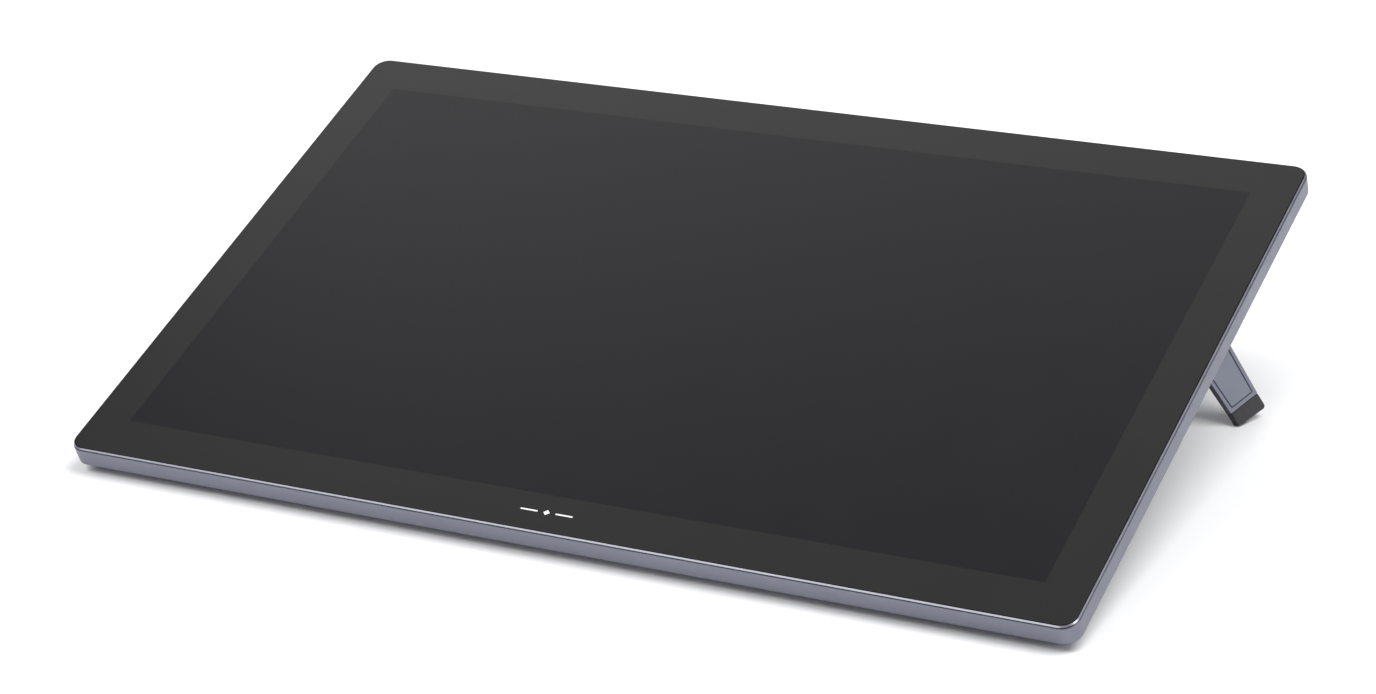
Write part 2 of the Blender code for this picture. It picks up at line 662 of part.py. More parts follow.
def make_panel_cable(tablet):
    """A flat flexible cable from the panel's top edge round the display stack to the main board."""
    turn_y, bend = ACTIVE_Y + 6.8, 2.0
    route = arc((turn_y, -2.1 - bend), bend, 90, 0, 4) + arc((turn_y, -11.72 + bend), bend, 0, -90, 4)
    route.append((60.0, -11.72))
    bm = bmesh.new()
    rows = [[bm.verts.new((x, y, z)) for x in (-24.0, 16.0)] for y, z in route]
    for low, high in zip(rows, rows[1:]):
        bm.faces.new((low[0], low[1], high[1], high[0]))
    cable = new_part("panel_cable", bm, FINISH["cable_amber"], tablet)
    thickness = cable.modifiers.new("thickness", "SOLIDIFY")
    thickness.thickness = 0.16 * MM
    thickness.offset = 0.0


def stand_on_origin(tablet):
    """Moves the tablet so that it stands on Z = 0 with the middle of its box over the origin."""
    bpy.context.view_layer.update()
    graph = bpy.context.evaluated_depsgraph_get()
    reach = []
    for part in PARTS.objects:
        if part.type == "MESH":
            solid = part.evaluated_get(graph)
            mesh = solid.to_mesh()
            reach += [(solid.matrix_world @ vertex.co).y for vertex in mesh.vertices]
            solid.to_mesh_clear()
    tablet.location.y -= (min(reach) + max(reach)) / 2
    tablet.location.z -= GROUND * MM


clear_scene()
PARTS = new_collection("pen_drawing_tablet")
CUTTERS = new_collection("cutters")
FINISH = {
    "glass": new_finish("glass", (0.035, 0.035, 0.036), 0.28),
    "aluminium": new_finish("aluminium", (0.30, 0.31, 0.37), 0.42, 1.0),
    "rubber": new_finish("rubber", (0.045, 0.044, 0.047), 0.85),
    "dark_plastic": new_finish("dark_plastic", (0.05, 0.05, 0.06), 0.5),
    "dark_steel": new_finish("dark_steel", (0.10, 0.10, 0.11), 0.45, 1.0),
    "plated_steel": new_finish("plated_steel", (0.55, 0.56, 0.58), 0.3, 1.0),
    "spring_steel": new_finish("spring_steel", (0.35, 0.33, 0.30), 0.35, 1.0),
    "brass": new_finish("brass", (0.55, 0.38, 0.14), 0.35, 1.0),
    "black_tape": new_finish("black_tape", (0.01, 0.01, 0.01), 0.8),
    "panel": new_finish("panel", (0.02, 0.02, 0.025), 0.2),
    "film": new_finish("film", (0.85, 0.85, 0.86), 0.6),
    "clear_acrylic": new_finish("clear_acrylic", (0.80, 0.85, 0.86), 0.1, 0.0, 0.6),
    "circuit_green": new_finish("circuit_green", (0.02, 0.12, 0.06), 0.5),
    "cable_amber": new_finish("cable_amber", (0.40, 0.20, 0.05), 0.5),
}
TABLET = new_empty("tablet_frame", None, Matrix.Rotation(math.radians(TILT), 4, "X"))
make_cover_glass(TABLET)
make_glass_adhesive(TABLET)
make_front_frame(TABLET)
make_display_stack(TABLET)
make_backlight_tray(TABLET)
make_rear_cover(TABLET)
make_rear_screws(TABLET)
make_front_feet(TABLET)
make_rear_pads(TABLET)
make_legs(TABLET)
make_boards(TABLET)
make_vesa_mount(TABLET)
make_ports(TABLET)
make_buttons(TABLET)
make_panel_cable(TABLET)
stand_on_origin(TABLET)
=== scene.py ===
"""Looks of the pen drawing tablet: fine meshes, finishes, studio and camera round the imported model.

Shapes are modelled in millimetres. The tablet's frame has X to the right, Y up the screen and Z
out of the glass, with the middle of the glass surface at zero. A leg's frame has X from the pin
to the foot, Y along the pin and Z out of the leg's metal face.
"""

import json
import math

import bmesh
import bpy
from mathutils import Matrix, Vector


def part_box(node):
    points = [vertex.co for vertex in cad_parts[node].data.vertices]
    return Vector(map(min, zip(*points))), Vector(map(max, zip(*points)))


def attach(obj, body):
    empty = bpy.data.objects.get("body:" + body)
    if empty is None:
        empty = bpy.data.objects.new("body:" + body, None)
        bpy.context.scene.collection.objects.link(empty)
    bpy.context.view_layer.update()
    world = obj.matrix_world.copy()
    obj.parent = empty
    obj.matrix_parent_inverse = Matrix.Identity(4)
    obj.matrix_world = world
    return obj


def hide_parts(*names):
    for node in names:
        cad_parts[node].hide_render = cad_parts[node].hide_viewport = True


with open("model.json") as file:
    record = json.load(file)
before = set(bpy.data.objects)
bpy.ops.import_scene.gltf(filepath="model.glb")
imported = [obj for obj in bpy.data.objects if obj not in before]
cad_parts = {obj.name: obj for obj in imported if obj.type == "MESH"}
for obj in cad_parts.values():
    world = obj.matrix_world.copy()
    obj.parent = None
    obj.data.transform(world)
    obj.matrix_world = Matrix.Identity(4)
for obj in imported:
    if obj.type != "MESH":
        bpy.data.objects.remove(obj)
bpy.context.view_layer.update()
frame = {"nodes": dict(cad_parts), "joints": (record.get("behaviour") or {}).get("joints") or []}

MM = 0.001
JOINTS = {joint["name"]: joint for joint in frame["joints"]}

# Driving dimensions of the part, in millimetres and degrees.
OUTLINE_X = 326.05
OUTLINE_Y = 197.65
OUTLINE_RADIUS = 10.3
CORNER_STEPS = 14
BACK_Z = -21.0
BELOW_BACK_Z = BACK_Z - 1.0
SUNK_Z = -20.2
INNER_BACK_Z = -19.5
SLOPE_INSET = 10.0
GLASS_INSET = 1.45
GLASS_THICKNESS = 1.1
ACTIVE_X = 298.35
ACTIVE_Y = 167.85
PANEL_MIDDLE_Z = -2.15
GAP = 0.3

LEG_TURN = 24.0
LEG_DROP = 54.2
HINGE_X = 250.3
HINGE_Y = 121.2
HINGE_Z = -18.5
LEG_HALF_THICKNESS = 2.5
LEG_ROOT_HALF_WIDTH = 16.0
LEG_METAL_LENGTH = 104.4
LEG_TIP_HALF_WIDTH = 11.3
LEG_LENGTH = 114.2
LEG_END_SLANT = 0.04
LEG_BACKING_Z = 1.3
TONGUE_TOP_Z = 0.9
TONGUE_BOTTOM_Z = -1.2
POCKET_CLEARANCE = 0.8
POCKET_FLOOR_Z = -15.4
POCKET_OUTER_END = 5.8
HINGE_FLOOR_Z = -14.2
FINGER_RADIUS = 9.0
FINGER_X = LEG_LENGTH + 2.5
PIN_RADIUS = 1.25
PIN_HOLE_RADIUS = 1.32
BARREL_HALF_LENGTH = 10.0
EAR_INNER = 10.8
EAR_OUTER = 12.4

FRONT_FOOT_X = 220.0
FRONT_FOOT_Y = -182.2
FRONT_FOOT_HALF_LENGTH = 50.0
FRONT_FOOT_HALF_WIDTH = 5.15
REAR_PAD_X = 286.0
REAR_PAD_Y = 150.0
REAR_PAD_RADIUS = 9.0
SCREW_INSET = 15.0
VESA_HALF = 50.0

BAY_X = 52.0
BAY_FRONT_Y = 79.0
BAY_BACK_Y = 121.0
BAY_FLOOR_Z = -13.6
PORT_TOP_Z = -14.6
# Ports from left to right: node, middle X, half width, height, kind of opening.
PORTS = (
    ("power_socket", -38.0, 4.6, 4.6, "round"),
    ("video_socket_large", -20.0, 8.2, 4.6, "wedge"),
    ("video_socket_small", 3.0, 7.6, 4.6, "cut_corner"),
    ("data_socket_left", 21.0, 4.6, 3.2, "oval"),
    ("data_socket_right", 36.0, 4.6, 3.2, "oval"),
)

# Vents: a row of slots, with so many steps on both sides of the middle one.
VENT_STEPS = 8
VENT_PITCH = 6.5
VENT_Y = 153.0
VENT_HALF_WIDTH = 1.1
VENT_HALF_LENGTH = 7.0

# Boards: the face with the chips, and on each board the chips (middle X and Y, half sizes, leads on
# one side) and the rows of small parts (first X, last X, Y).
BOARD_BACK_Z = -13.8
MAIN_CHIPS = (
    (-32.0, 22.0, 7.0, 7.0, 18), (32.0, 22.0, 6.5, 5.0, 14), (-31.0, 47.0, 5.5, 3.2, 10),
    (4.0, 52.5, 6.0, 5.0, 14), (31.0, 46.0, 4.0, 2.4, 7),
)
MAIN_ROWS = ((-41.0, 41.0, 7.0), (-41.0, -23.0, 35.0), (23.0, 41.0, 34.0), (-41.0, 41.0, 61.5))
PEN_CHIPS = ((94.0, 36.0, 6.0, 6.0, 16), (80.0, 28.0, 3.0, 2.2, 5), (108.0, 28.0, 3.0, 2.2, 5))
PEN_ROWS = ((75.0, 113.0, 48.5), (75.0, 113.0, 22.8))
LIGHT_BAR_FACE_Y = -167.25
LIGHT_BAR_Z = -5.8

BUTTON_Z = -7.0
# Buttons from left to right on the top edge: node and body, middle X, half length.
BUTTONS = (
    ("power_button", 262.0, 6.0),
    ("menu_button_down", 232.0, 5.0),
    ("menu_button_up", 216.0, 5.0),
)

# The tablet's frame in the model: its tilt from a button's travel, its middle from the panel.
UP_SLOPE = -Vector(JOINTS["power_button_press"]["axis"]).normalized()
RIGHT = Vector((1.0, 0.0, 0.0))
NORMAL = RIGHT.cross(UP_SLOPE)
PANEL_LOW, PANEL_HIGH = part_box("lcd_cell")
ORIGIN = (PANEL_LOW + PANEL_HIGH) / 2 - NORMAL * PANEL_MIDDLE_Z * MM
TABLET = Matrix((RIGHT, UP_SLOPE, NORMAL)).transposed().to_4x4()
TABLET.translation = ORIGIN

EVEN = (1.0, 1.0, 1.0)
PIECES = bpy.data.collections.new("pieces")
bpy.context.scene.collection.children.link(PIECES)


# Outlines and shapes, gathered in a bmesh in millimetres.


def arc(centre, radius, start, end, steps):
    """Points on an arc, in degrees anticlockwise, both ends included."""
    angles = [math.radians(start + (end - start) * i / steps) for i in range(steps + 1)]
    return [(centre[0] + radius * math.cos(a), centre[1] + radius * math.sin(a)) for a in angles]


def offset(outline, dx, dy):
    return [(x + dx, y + dy) for x, y in outline]


def rounded(half_x, half_y, radius, steps=CORNER_STEPS, x=0.0, y=0.0):
    """A rectangle with rounded corners round a middle point."""
    points = []
    for sign_x, sign_y, start in ((1, 1, 0), (-1, 1, 90), (-1, -1, 180), (1, -1, 270)):
        centre = (sign_x * (half_x - radius), sign_y * (half_y - radius))
        points += arc(centre, radius, start, start + 90, steps)
    return offset(points, x, y)


def fillet(corners, steps=6, closed=False):
    """Rounds the corners of a line. Each corner is (a, b, radius), and a radius of 0 stays sharp."""
    points = []
    for i, (a, b, radius) in enumerate(corners):
        at_end = i in (0, len(corners) - 1) and not closed
        if not radius or at_end:
            points.append((a, b))
            continue
        here = Vector((a, b))
        before = (Vector(corners[i - 1][:2]) - here).normalized()
        after = (Vector(corners[(i + 1) % len(corners)][:2]) - here).normalized()
        half = before.angle(after) / 2
        centre = here + (before + after).normalized() * radius / math.sin(half)
        start = here + before * radius / math.tan(half) - centre
        end = here + after * radius / math.tan(half) - centre
        turn = math.atan2(start.x * end.y - start.y * end.x, start.dot(end))
        first = math.atan2(start.y, start.x)
        for step in range(steps + 1):
            angle = first + turn * step / steps
            points.append((centre.x + radius * math.cos(angle), centre.y + radius * math.sin(angle)))
    return points


def mirrored(half_outline):
    """Closes an outline that is given for positive Y only."""
    return half_outline + [(x, -y, *rest) for x, y, *rest in reversed(half_outline)]


def inset_loop(inset, z):
    """The tablet's outline drawn in by an inset, at one depth."""
    radius = max(OUTLINE_RADIUS - inset, 0.8)
    return [(x, y, z) for x, y in rounded(OUTLINE_X - inset, OUTLINE_Y - inset, radius)]


def add_box(bm, low, high):
    low, high = Vector(low), Vector(high)
    place = Matrix.Translation((low + high) / 2) @ Matrix.Diagonal((*(high - low), 1.0))
    bmesh.ops.create_cube(bm, size=1.0, matrix=place)


def add_cylinder(bm, start, end, radius, segments):
    """A cylinder from one axis point to another."""
    start, end = Vector(start), Vector(end)
    turn = (end - start).to_track_quat("Z", "Y").to_matrix().to_4x4()
    bmesh.ops.create_cone(
        bm,
        cap_ends=True,
        segments=segments,
        radius1=radius,
        radius2=radius,
        depth=(end - start).length,
        matrix=Matrix.Translation((start + end) / 2) @ turn,
    )


def add_prism(bm, outline, low, high, axis="Z"):
    """A flat outline extruded along an axis. An X or Y prism's outline is (Y, Z) or (X, Z) pairs."""
    place = {
        "X": lambda a, b, c: (c, a, b),
        "Y": lambda a, b, c: (a, c, b),
        "Z": lambda a, b, c: (a, b, c),
    }[axis]
    face = bm.faces.new([bm.verts.new(place(a, b, low)) for a, b in outline])
    top = bmesh.ops.extrude_face_region(bm, geom=[face])["geom"]
    step = Vector(place(0.0, 0.0, high - low))
    verts = [item for item in top if isinstance(item, bmesh.types.BMVert)]
    bmesh.ops.translate(bm, verts=verts, vec=step)


def add_skin(bm, loops, ring=False, finishes=None):
    """A surface through loops of equally many points: a ring, or a solid with flat ends. finishes
    gives each band its material number. Returns the loops as vertices."""
    rows = [[bm.verts.new(point) for point in loop] for loop in loops]
    pairs = list(zip(rows, rows[1:]))
    if ring:
        pairs.append((rows[-1], rows[0]))
    for band, (low, high) in enumerate(pairs):
        for i in range(len(low)):
            j = (i + 1) % len(low)
            face = bm.faces.new((low[i], low[j], high[j], high[i]))
            face.material_index = finishes[band] if finishes else 0
    if not ring:
        bm.faces.new(reversed(rows[0]))
        bm.faces.new(rows[-1])
    return rows


def shape(add, *arguments, **settings):
    """A bmesh with one shape in it."""
    bm = bmesh.new()
    add(bm, *arguments, **settings)
    return bm


def turned(profile, axis="Z", x=0.0, y=0.0, z=0.0, steps=36):
    """Loops of a shape turned round an axis. The profile is pairs of radius and height along it."""
    ring = arc((0.0, 0.0), 1.0, 0, 360 - 360 / steps, steps - 1)
    if axis == "Y":
        return [[(x + a * radius, height, z + b * radius) for a, b in ring] for radius, height in profile]
    return [[(x + a * radius, y + b * radius, height) for a, b in ring] for radius, height in profile]


def new_solid(name, bm, place=TABLET):
    """An object from a bmesh in millimetres, in the frame of the tablet or of a leg."""
    bmesh.ops.recalc_face_normals(bm, faces=bm.faces)
    bm.transform(Matrix.Scale(MM, 4))
    mesh = bpy.data.meshes.new(name)
    bm.to_mesh(mesh)
    bm.free()
    piece = bpy.data.objects.new(name, mesh)
    piece.matrix_world = place
    PIECES.objects.link(piece)
    return piece


def bake(piece):
    """Applies the modifiers."""
    bpy.context.view_layer.update()
    graph = bpy.context.evaluated_depsgraph_get()
    mesh = bpy.data.meshes.new_from_object(piece.evaluated_get(graph))
    plain = piece.data
    piece.modifiers.clear()
    piece.data = mesh
    bpy.data.meshes.remove(plain)
    mesh.name = piece.name


def carve(piece, bm, operation="DIFFERENCE"):
    """Cuts, joins or intersects a piece with a solid in the same frame."""
    tool = new_solid("tool", bm, piece.matrix_world.copy())
    boolean = piece.modifiers.new("carve", "BOOLEAN")
    boolean.operation = operation
    boolean.solver = "EXACT"
    boolean.object = tool
    bake(piece)
    mesh = tool.data
    bpy.data.objects.remove(tool)
    bpy.data.meshes.remove(mesh)


def cut_at_tabletop(piece):
    """Cuts off what would reach below the surface that the tablet stands on, and closes the cut."""
    place = piece.matrix_world
    down = place.to_3x3().transposed() @ Vector((0.0, 0.0, -1.0))
    bm = bmesh.new()
    bm.from_mesh(piece.data)
    everything = [*bm.verts, *bm.edges, *bm.faces]
    level = down * place.translation.z
    cut = bmesh.ops.bisect_plane(bm, geom=everything, plane_co=level, plane_no=down, clear_outer=True)
    rim = [item for item in cut["geom_cut"] if isinstance(item, bmesh.types.BMEdge)]
    bmesh.ops.edgeloop_fill(bm, edges=rim)
    bmesh.ops.recalc_face_normals(bm, faces=bm.faces)
    bm.to_mesh(piece.data)
    bm.free()


def round_edges(piece, width, steps, angle):
    """Rounds the edges that turn by more than an angle."""
    bevel = piece.modifiers.new("edge", "BEVEL")
    bevel.width = width * MM
    bevel.segments = steps
    bevel.limit_method = "ANGLE"
    bevel.angle_limit = math.radians(angle)
    bake(piece)


def finish_piece(piece, finishes, nodes=(), body="tablet", edge=0.0, steps=2, angle=50.0):
    """Rounds the edges, shades the piece, gives it its finishes and puts it on its body. finishes
    names them in one string, in the order of the material numbers."""
    piece.data.transform(piece.matrix_world)
    piece.matrix_world = Matrix.Identity(4)
    for finish in finishes.split():
        piece.data.materials.append(FINISH[finish])
    smooth_up_to = 40.0
    if edge:
        round_edges(piece, edge, steps, angle)
        smooth_up_to = angle + 5.0
    piece.data.shade_smooth()
    piece.data.set_sharp_from_angle(angle=math.radians(smooth_up_to))
    weigh = piece.modifiers.new("weigh", "WEIGHTED_NORMAL")
    weigh.keep_sharp = True
    weigh.weight = 90
    bake(piece)
    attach(piece, body)
    if nodes:
        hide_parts(*nodes)


# Finishes. Object coordinates are in metres, so a scale of 1000 makes features of a millimetre.


def new_finish(name, colour, roughness, metallic=0.0, **sockets):
    material = bpy.data.materials.new(name)
    material.use_nodes = True
    shader = material.node_tree.nodes["Principled BSDF"]
    shader.inputs["Base Color"].default_value = (*colour, 1.0)
    shader.inputs["Roughness"].default_value = roughness
    shader.inputs["Metallic"].default_value = metallic
    for socket, value in sockets.items():
        shader.inputs[socket.replace("_", " ")].default_value = value
    return material


def add_node(material, kind, inputs=None, **settings):
    """A node with its settings, and inputs given as values or as other nodes' outputs."""
    node = material.node_tree.nodes.new(kind)
    for setting, value in settings.items():
        setattr(node, setting, value)
    for socket, value in (inputs or {}).items():
        if isinstance(value, bpy.types.NodeSocket):
            material.node_tree.links.new(value, node.inputs[socket])
        else:
            node.inputs[socket].default_value = value
    return node


def link_to_shader(material, output, socket):
    shader = material.node_tree.nodes["Principled BSDF"]
    material.node_tree.links.new(output, shader.inputs[socket])


def place_of(material, stretch=EVEN):
    """Object coordinates, drawn out along an axis where stretch is small."""
    coordinates = add_node(material, "ShaderNodeTexCoord")
    inputs = {"Vector": coordinates.outputs["Object"], "Scale": stretch}
    return add_node(material, "ShaderNodeMapping", inputs).outputs["Vector"]


def add_clouds(material, colour, spread, scale, stretch=EVEN):
    """Slow variation between a darker and a lighter shade of the colour."""
    noise = add_node(material, "ShaderNodeTexNoise",
                     {"Vector": place_of(material, stretch), "Scale": scale, "Detail": 4.0, "Roughness": 0.6})
    ramp = add_node(material, "ShaderNodeValToRGB", {"Fac": noise.outputs["Fac"]})
    ramp.color_ramp.elements[0].position = 0.3
    ramp.color_ramp.elements[1].position = 0.7
    for element, factor in zip(ramp.color_ramp.elements, (1 - spread, 1 + spread)):
        element.color = (*(c * factor for c in colour), 1.0)
    link_to_shader(material, ramp.outputs["Color"], "Base Color")


def add_wear(material, low, high, scale, stretch=EVEN):
    """Roughness that drifts between two values, as handling and cleaning leave it."""
    noise = add_node(material, "ShaderNodeTexNoise",
                     {"Vector": place_of(material, stretch), "Scale": scale, "Detail": 5.0})
    inputs = {"Value": noise.outputs["Fac"], "From Min": 0.3, "From Max": 0.7, "To Min": low, "To Max": high}
    spread = add_node(material, "ShaderNodeMapRange", inputs)
    link_to_shader(material, spread.outputs["Result"], "Roughness")


def add_grain(material, height, scale, stretch=EVEN, pattern="noise"):
    """A fine relief, with its height in millimetres."""
    place = place_of(material, stretch)
    if pattern == "cells":
        texture = add_node(material, "ShaderNodeTexVoronoi", {"Vector": place, "Scale": scale})
        relief = texture.outputs["Distance"]
    else:
        texture = add_node(material, "ShaderNodeTexNoise", {"Vector": place, "Scale": scale, "Detail": 3.0})
        relief = texture.outputs["Fac"]
    bump = add_node(material, "ShaderNodeBump", {"Height": relief, "Strength": 1.0, "Distance": height * MM})
    link_to_shader(material, bump.outputs["Normal"], "Normal")


def textured(name, colour, roughness, metallic=0.0, spread=0.08, clouds=30.0, wear=0.05, grain=None,
             stretch=EVEN, pattern="noise", **sockets):
    """A finish with clouds, wear and grain. The grain is a height in millimetres and a scale."""
    material = new_finish(name, colour, roughness, metallic, **sockets)
    add_clouds(material, colour, spread, clouds, stretch)
    add_wear(material, roughness - wear, roughness + wear, clouds * 3, stretch)
    if grain:
        add_grain(material, *grain, stretch, pattern)
    return material


def circuit_finish():
    """Solder mask over copper tracks: tracks in steps of a grid, with lands between them."""
    mask, track = (0.008, 0.085, 0.040), (0.020, 0.170, 0.075)
    material = textured("circuit_board_mask", mask, 0.38, grain=(0.004, 600.0), Coat_Weight=0.4)
    place = place_of(material)
    tracks = add_node(material, "ShaderNodeTexBrick",
                      {"Vector": place, "Scale": 1.0, "Mortar Size": 0.00035, "Brick Width": 0.011,
                       "Row Height": 0.0014, "Color1": (*mask, 1.0), "Color2": (*mask, 1.0),
                       "Mortar": (*track, 1.0)}, offset=0.37, squash=1.6, squash_frequency=3)
    lands = add_node(material, "ShaderNodeTexVoronoi", {"Vector": place, "Scale": 160.0})
    inputs = {"Value": lands.outputs["Distance"], "From Min": 0.10, "From Max": 0.13,
              "To Min": 1.0, "To Max": 0.0}
    dots = add_node(material, "ShaderNodeMapRange", inputs)
    tin = (0.55, 0.53, 0.48, 1.0)
    mix = add_node(material, "ShaderNodeMix", {"Factor": dots.outputs["Result"]}, data_type="RGBA")
    material.node_tree.links.new(tracks.outputs["Color"], mix.inputs["A"])
    mix.inputs["B"].default_value = tin
    link_to_shader(material, mix.outputs["Result"], "Base Color")
    return material


def stage_finish():
    material = new_finish("studio_floor", (0.90, 0.90, 0.90), 0.9)
    add_clouds(material, (0.90, 0.90, 0.90), 0.01, 3.0)
    return material


FINISH = {
    "ink": textured("black_ink_under_glass", (0.0102, 0.0100, 0.0096), 0.34, spread=0.02, clouds=9.0,
        wear=0.01, grain=(0.0012, 2600.0), Specular_IOR_Level=0.33),
    "picture": textured("switched_off_picture_glass", (0.0034, 0.0034, 0.0047), 0.34, spread=0.02,
        clouds=9.0, wear=0.01, grain=(0.0012, 2600.0), Specular_IOR_Level=0.31),
    "glass_rim": textured("ground_glass_rim", (0.004, 0.004, 0.005), 0.22, spread=0.1, wear=0.04,
        Specular_IOR_Level=0.2),
    "anodised": textured("bead_blasted_anodised_aluminium", (0.203, 0.209, 0.258), 0.46, 0.85, spread=0.025,
        clouds=14.0, wear=0.03, grain=(0.0022, 2200.0)),
    "leg_panel": textured("leg_inlay_anodised", (0.206, 0.219, 0.262), 0.46, 0.85, spread=0.03, clouds=25.0,
        wear=0.03, grain=(0.0022, 2200.0)),
    "chamfer": textured("diamond_cut_chamfer", (0.62, 0.62, 0.70), 0.30, 1.0, spread=0.03, clouds=40.0,
        wear=0.03, grain=(0.0003, 1500.0)),
    "rubber": textured("soft_rubber", (0.039, 0.037, 0.042), 0.78, spread=0.12, clouds=120.0, wear=0.08,
        grain=(0.012, 1800.0), pattern="cells"),
    "plastic": textured("moulded_dark_plastic", (0.054, 0.054, 0.062), 0.52, clouds=60.0, wear=0.06,
        grain=(0.008, 1500.0), pattern="cells"),
    "button": textured("button_plastic", (0.058, 0.058, 0.066), 0.42, spread=0.05, clouds=90.0,
        grain=(0.004, 1800.0)),
    "dark_steel": textured("blackened_steel", (0.070, 0.070, 0.078), 0.40, 1.0, spread=0.2, clouds=90.0,
        wear=0.08, grain=(0.003, 900.0)),
    "plated_steel": textured("nickel_plated_steel", (0.56, 0.56, 0.57), 0.27, 1.0, spread=0.05, clouds=70.0,
        wear=0.06, grain=(0.002, 900.0), stretch=(0.12, 1.0, 1.0)),
    "spring_steel": textured("spring_steel_brushed", (0.34, 0.32, 0.29), 0.33, 1.0, spread=0.1,
        clouds=200.0, wear=0.06, grain=(0.002, 1400.0)),
    "brass": textured("turned_brass", (0.60, 0.40, 0.14), 0.28, 1.0, spread=0.12, clouds=180.0, wear=0.08,
        grain=(0.004, 900.0), stretch=(0.2, 0.2, 3.0)),
    "gold": textured("gold_plated_contact", (0.85, 0.60, 0.22), 0.25, 1.0, spread=0.06, clouds=300.0),
    "tape": textured("black_foam_tape", (0.010, 0.010, 0.011), 0.82, spread=0.2, clouds=150.0, wear=0.06,
        grain=(0.010, 1200.0), pattern="cells"),
    "panel": textured("panel_glass", (0.014, 0.014, 0.018), 0.12, spread=0.1, clouds=12.0, wear=0.04,
        Coat_Weight=0.5),
    "film": textured("optical_film", (0.78, 0.78, 0.80), 0.42, spread=0.02, clouds=10.0,
        grain=(0.004, 700.0), stretch=(0.02, 1.0, 1.0), Sheen_Weight=0.2),
    "acrylic": textured("light_guide_acrylic", (0.72, 0.79, 0.80), 0.10, spread=0.03, clouds=12.0,
        wear=0.04, grain=(0.010, 500.0), pattern="cells", Transmission_Weight=0.5),
    "cable": textured("polyimide_ribbon", (0.42, 0.19, 0.035), 0.34, spread=0.25, clouds=900.0,
        stretch=(1.0, 0.004, 0.004), Coat_Weight=0.3),
    "print": textured("white_screen_print", (0.74, 0.74, 0.74), 0.45, spread=0.03, clouds=200.0),
    "chip": textured("chip_resin", (0.018, 0.018, 0.019), 0.55, spread=0.1, clouds=300.0, wear=0.08,
        grain=(0.006, 3000.0)),
    "solder": textured("tinned_solder", (0.62, 0.61, 0.58), 0.32, 1.0, clouds=500.0, wear=0.1),
    "led": textured("led_phosphor", (0.85, 0.72, 0.20), 0.35, spread=0.1, clouds=400.0, wear=0.08),
}
FINISH["circuit"] = circuit_finish()


# Screen side.


def make_glass():
    """The cover glass with its rounded rim, the ink border and the picture area."""
    rim, steps = 0.3, 5
    loops = [inset_loop(GLASS_INSET, -GLASS_THICKNESS)]
    for step in range(steps + 1):
        turn = math.radians(90 * step / steps)
        loops.append(inset_loop(GLASS_INSET + rim * (1 - math.cos(turn)), rim * (math.sin(turn) - 1)))
    bm = bmesh.new()
    # Finishes: 0 ink, 1 picture, 2 ground rim.
    rows = add_skin(bm, loops, finishes=[2] * len(loops))
    bm.faces.remove(bm.faces.get(rows[-1]))
    outer = rows[-1]
    per_corner = CORNER_STEPS + 1
    signs = ((1, 1), (-1, 1), (-1, -1), (1, -1))
    corners = [bm.verts.new((x * ACTIVE_X, y * ACTIVE_Y, 0.0)) for x, y in signs]
    for number, corner in enumerate(corners):
        ends = outer[number * per_corner:(number + 1) * per_corner]
        for first, second in zip(ends, ends[1:]):
            bm.faces.new((corner, first, second))
        following = (number + 1) % len(corners)
        bm.faces.new((corner, ends[-1], outer[following * per_corner], corners[following]))
    picture = bm.faces.new(corners)
    picture.material_index = 1
    finish_piece(new_solid("front_glass", bm), "ink picture glass_rim", ["cover_glass"])


def make_bezel_mark():
    """A plain ornament printed on the border: a small diamond between two straight bars."""
    middle_y, low, high = -181.6, -0.01, 0.03
    bar_half_length, bar_half_width, bar_x, diamond_half = 5.6, 0.55, 11.4, 2.1
    bm = bmesh.new()
    for side in (-1, 1):
        bar = rounded(bar_half_length, bar_half_width, 0.5, 4, side * bar_x, middle_y)
        add_prism(bm, bar, low, high)
    add_prism(bm, arc((0.0, middle_y), diamond_half, 0, 270, 3), low, high)
    finish_piece(new_solid("bezel_mark", bm), "print")


def screw_places():
    side, end = OUTLINE_X - SCREW_INSET, OUTLINE_Y - SCREW_INSET
    columns = ((-side, (-end, 0, end)), (0, (-end, end)), (side, (-end, 0, end)))
    return [(x, y) for x, rows in columns for y in rows]


def vesa_places():
    return [(x, y) for x in (-VESA_HALF, VESA_HALF) for y in (-VESA_HALF, VESA_HALF)]


def make_front_frame():
    """The ring round the glass with its cut chamfer, the dark gap under it, its shelf and screw bosses. The
    gap's dark plastic is both a gasket and painted shade under the chamfer.
    """
    # Inset, depth, and the finish of the band that follows: 0 anodised, 1 cut chamfer, 2 dark gap, whose dark
    # plastic is both a gasket and painted shade under the chamfer.
    section = (
        (0.80, -1.02, 2), (0.34, -1.02, 0), (0.28, -1.00, 0), (0.26, -0.94, 0), (0.28, -0.86, 1),
        (0.98, -0.16, 0), (1.01, -0.13, 0), (1.08, -0.13, 2), (1.10, -0.16, 2), (1.10, -1.30, 0),
        (2.30, -1.30, 0), (2.30, -1.70, 0), (21.0, -1.70, 0), (21.0, -3.00, 0), (1.80, -3.00, 0),
        (1.80, -1.95, 2), (0.80, -1.95, 2),
    )
    bm = bmesh.new()
    add_skin(bm, [inset_loop(inset, z) for inset, z, _ in section], True, [band for *_, band in section])
    ring = new_solid("front_ring", bm)
    bosses, holes = bmesh.new(), bmesh.new()
    boss_radius, boss_start, boss_end, hole_radius, hole_start = 2.8, -2.4, -19.2, 1.35, -10.5
    for x, y in screw_places():
        add_cylinder(bosses, (x, y, boss_start), (x, y, boss_end), boss_radius, 28)
        add_cylinder(holes, (x, y, hole_start), (x, y, boss_end - 0.8), hole_radius, 24)
    # The dark plastic in the gap paints the shade under the chamfer, as well as standing for a gasket.
    for finish in ("anodised", "chamfer", "plastic"):
        ring.data.materials.append(FINISH[finish])
    carve(ring, bosses, "UNION")
    carve(ring, holes)
    finish_piece(ring, "", ["front_frame"])


# Back.


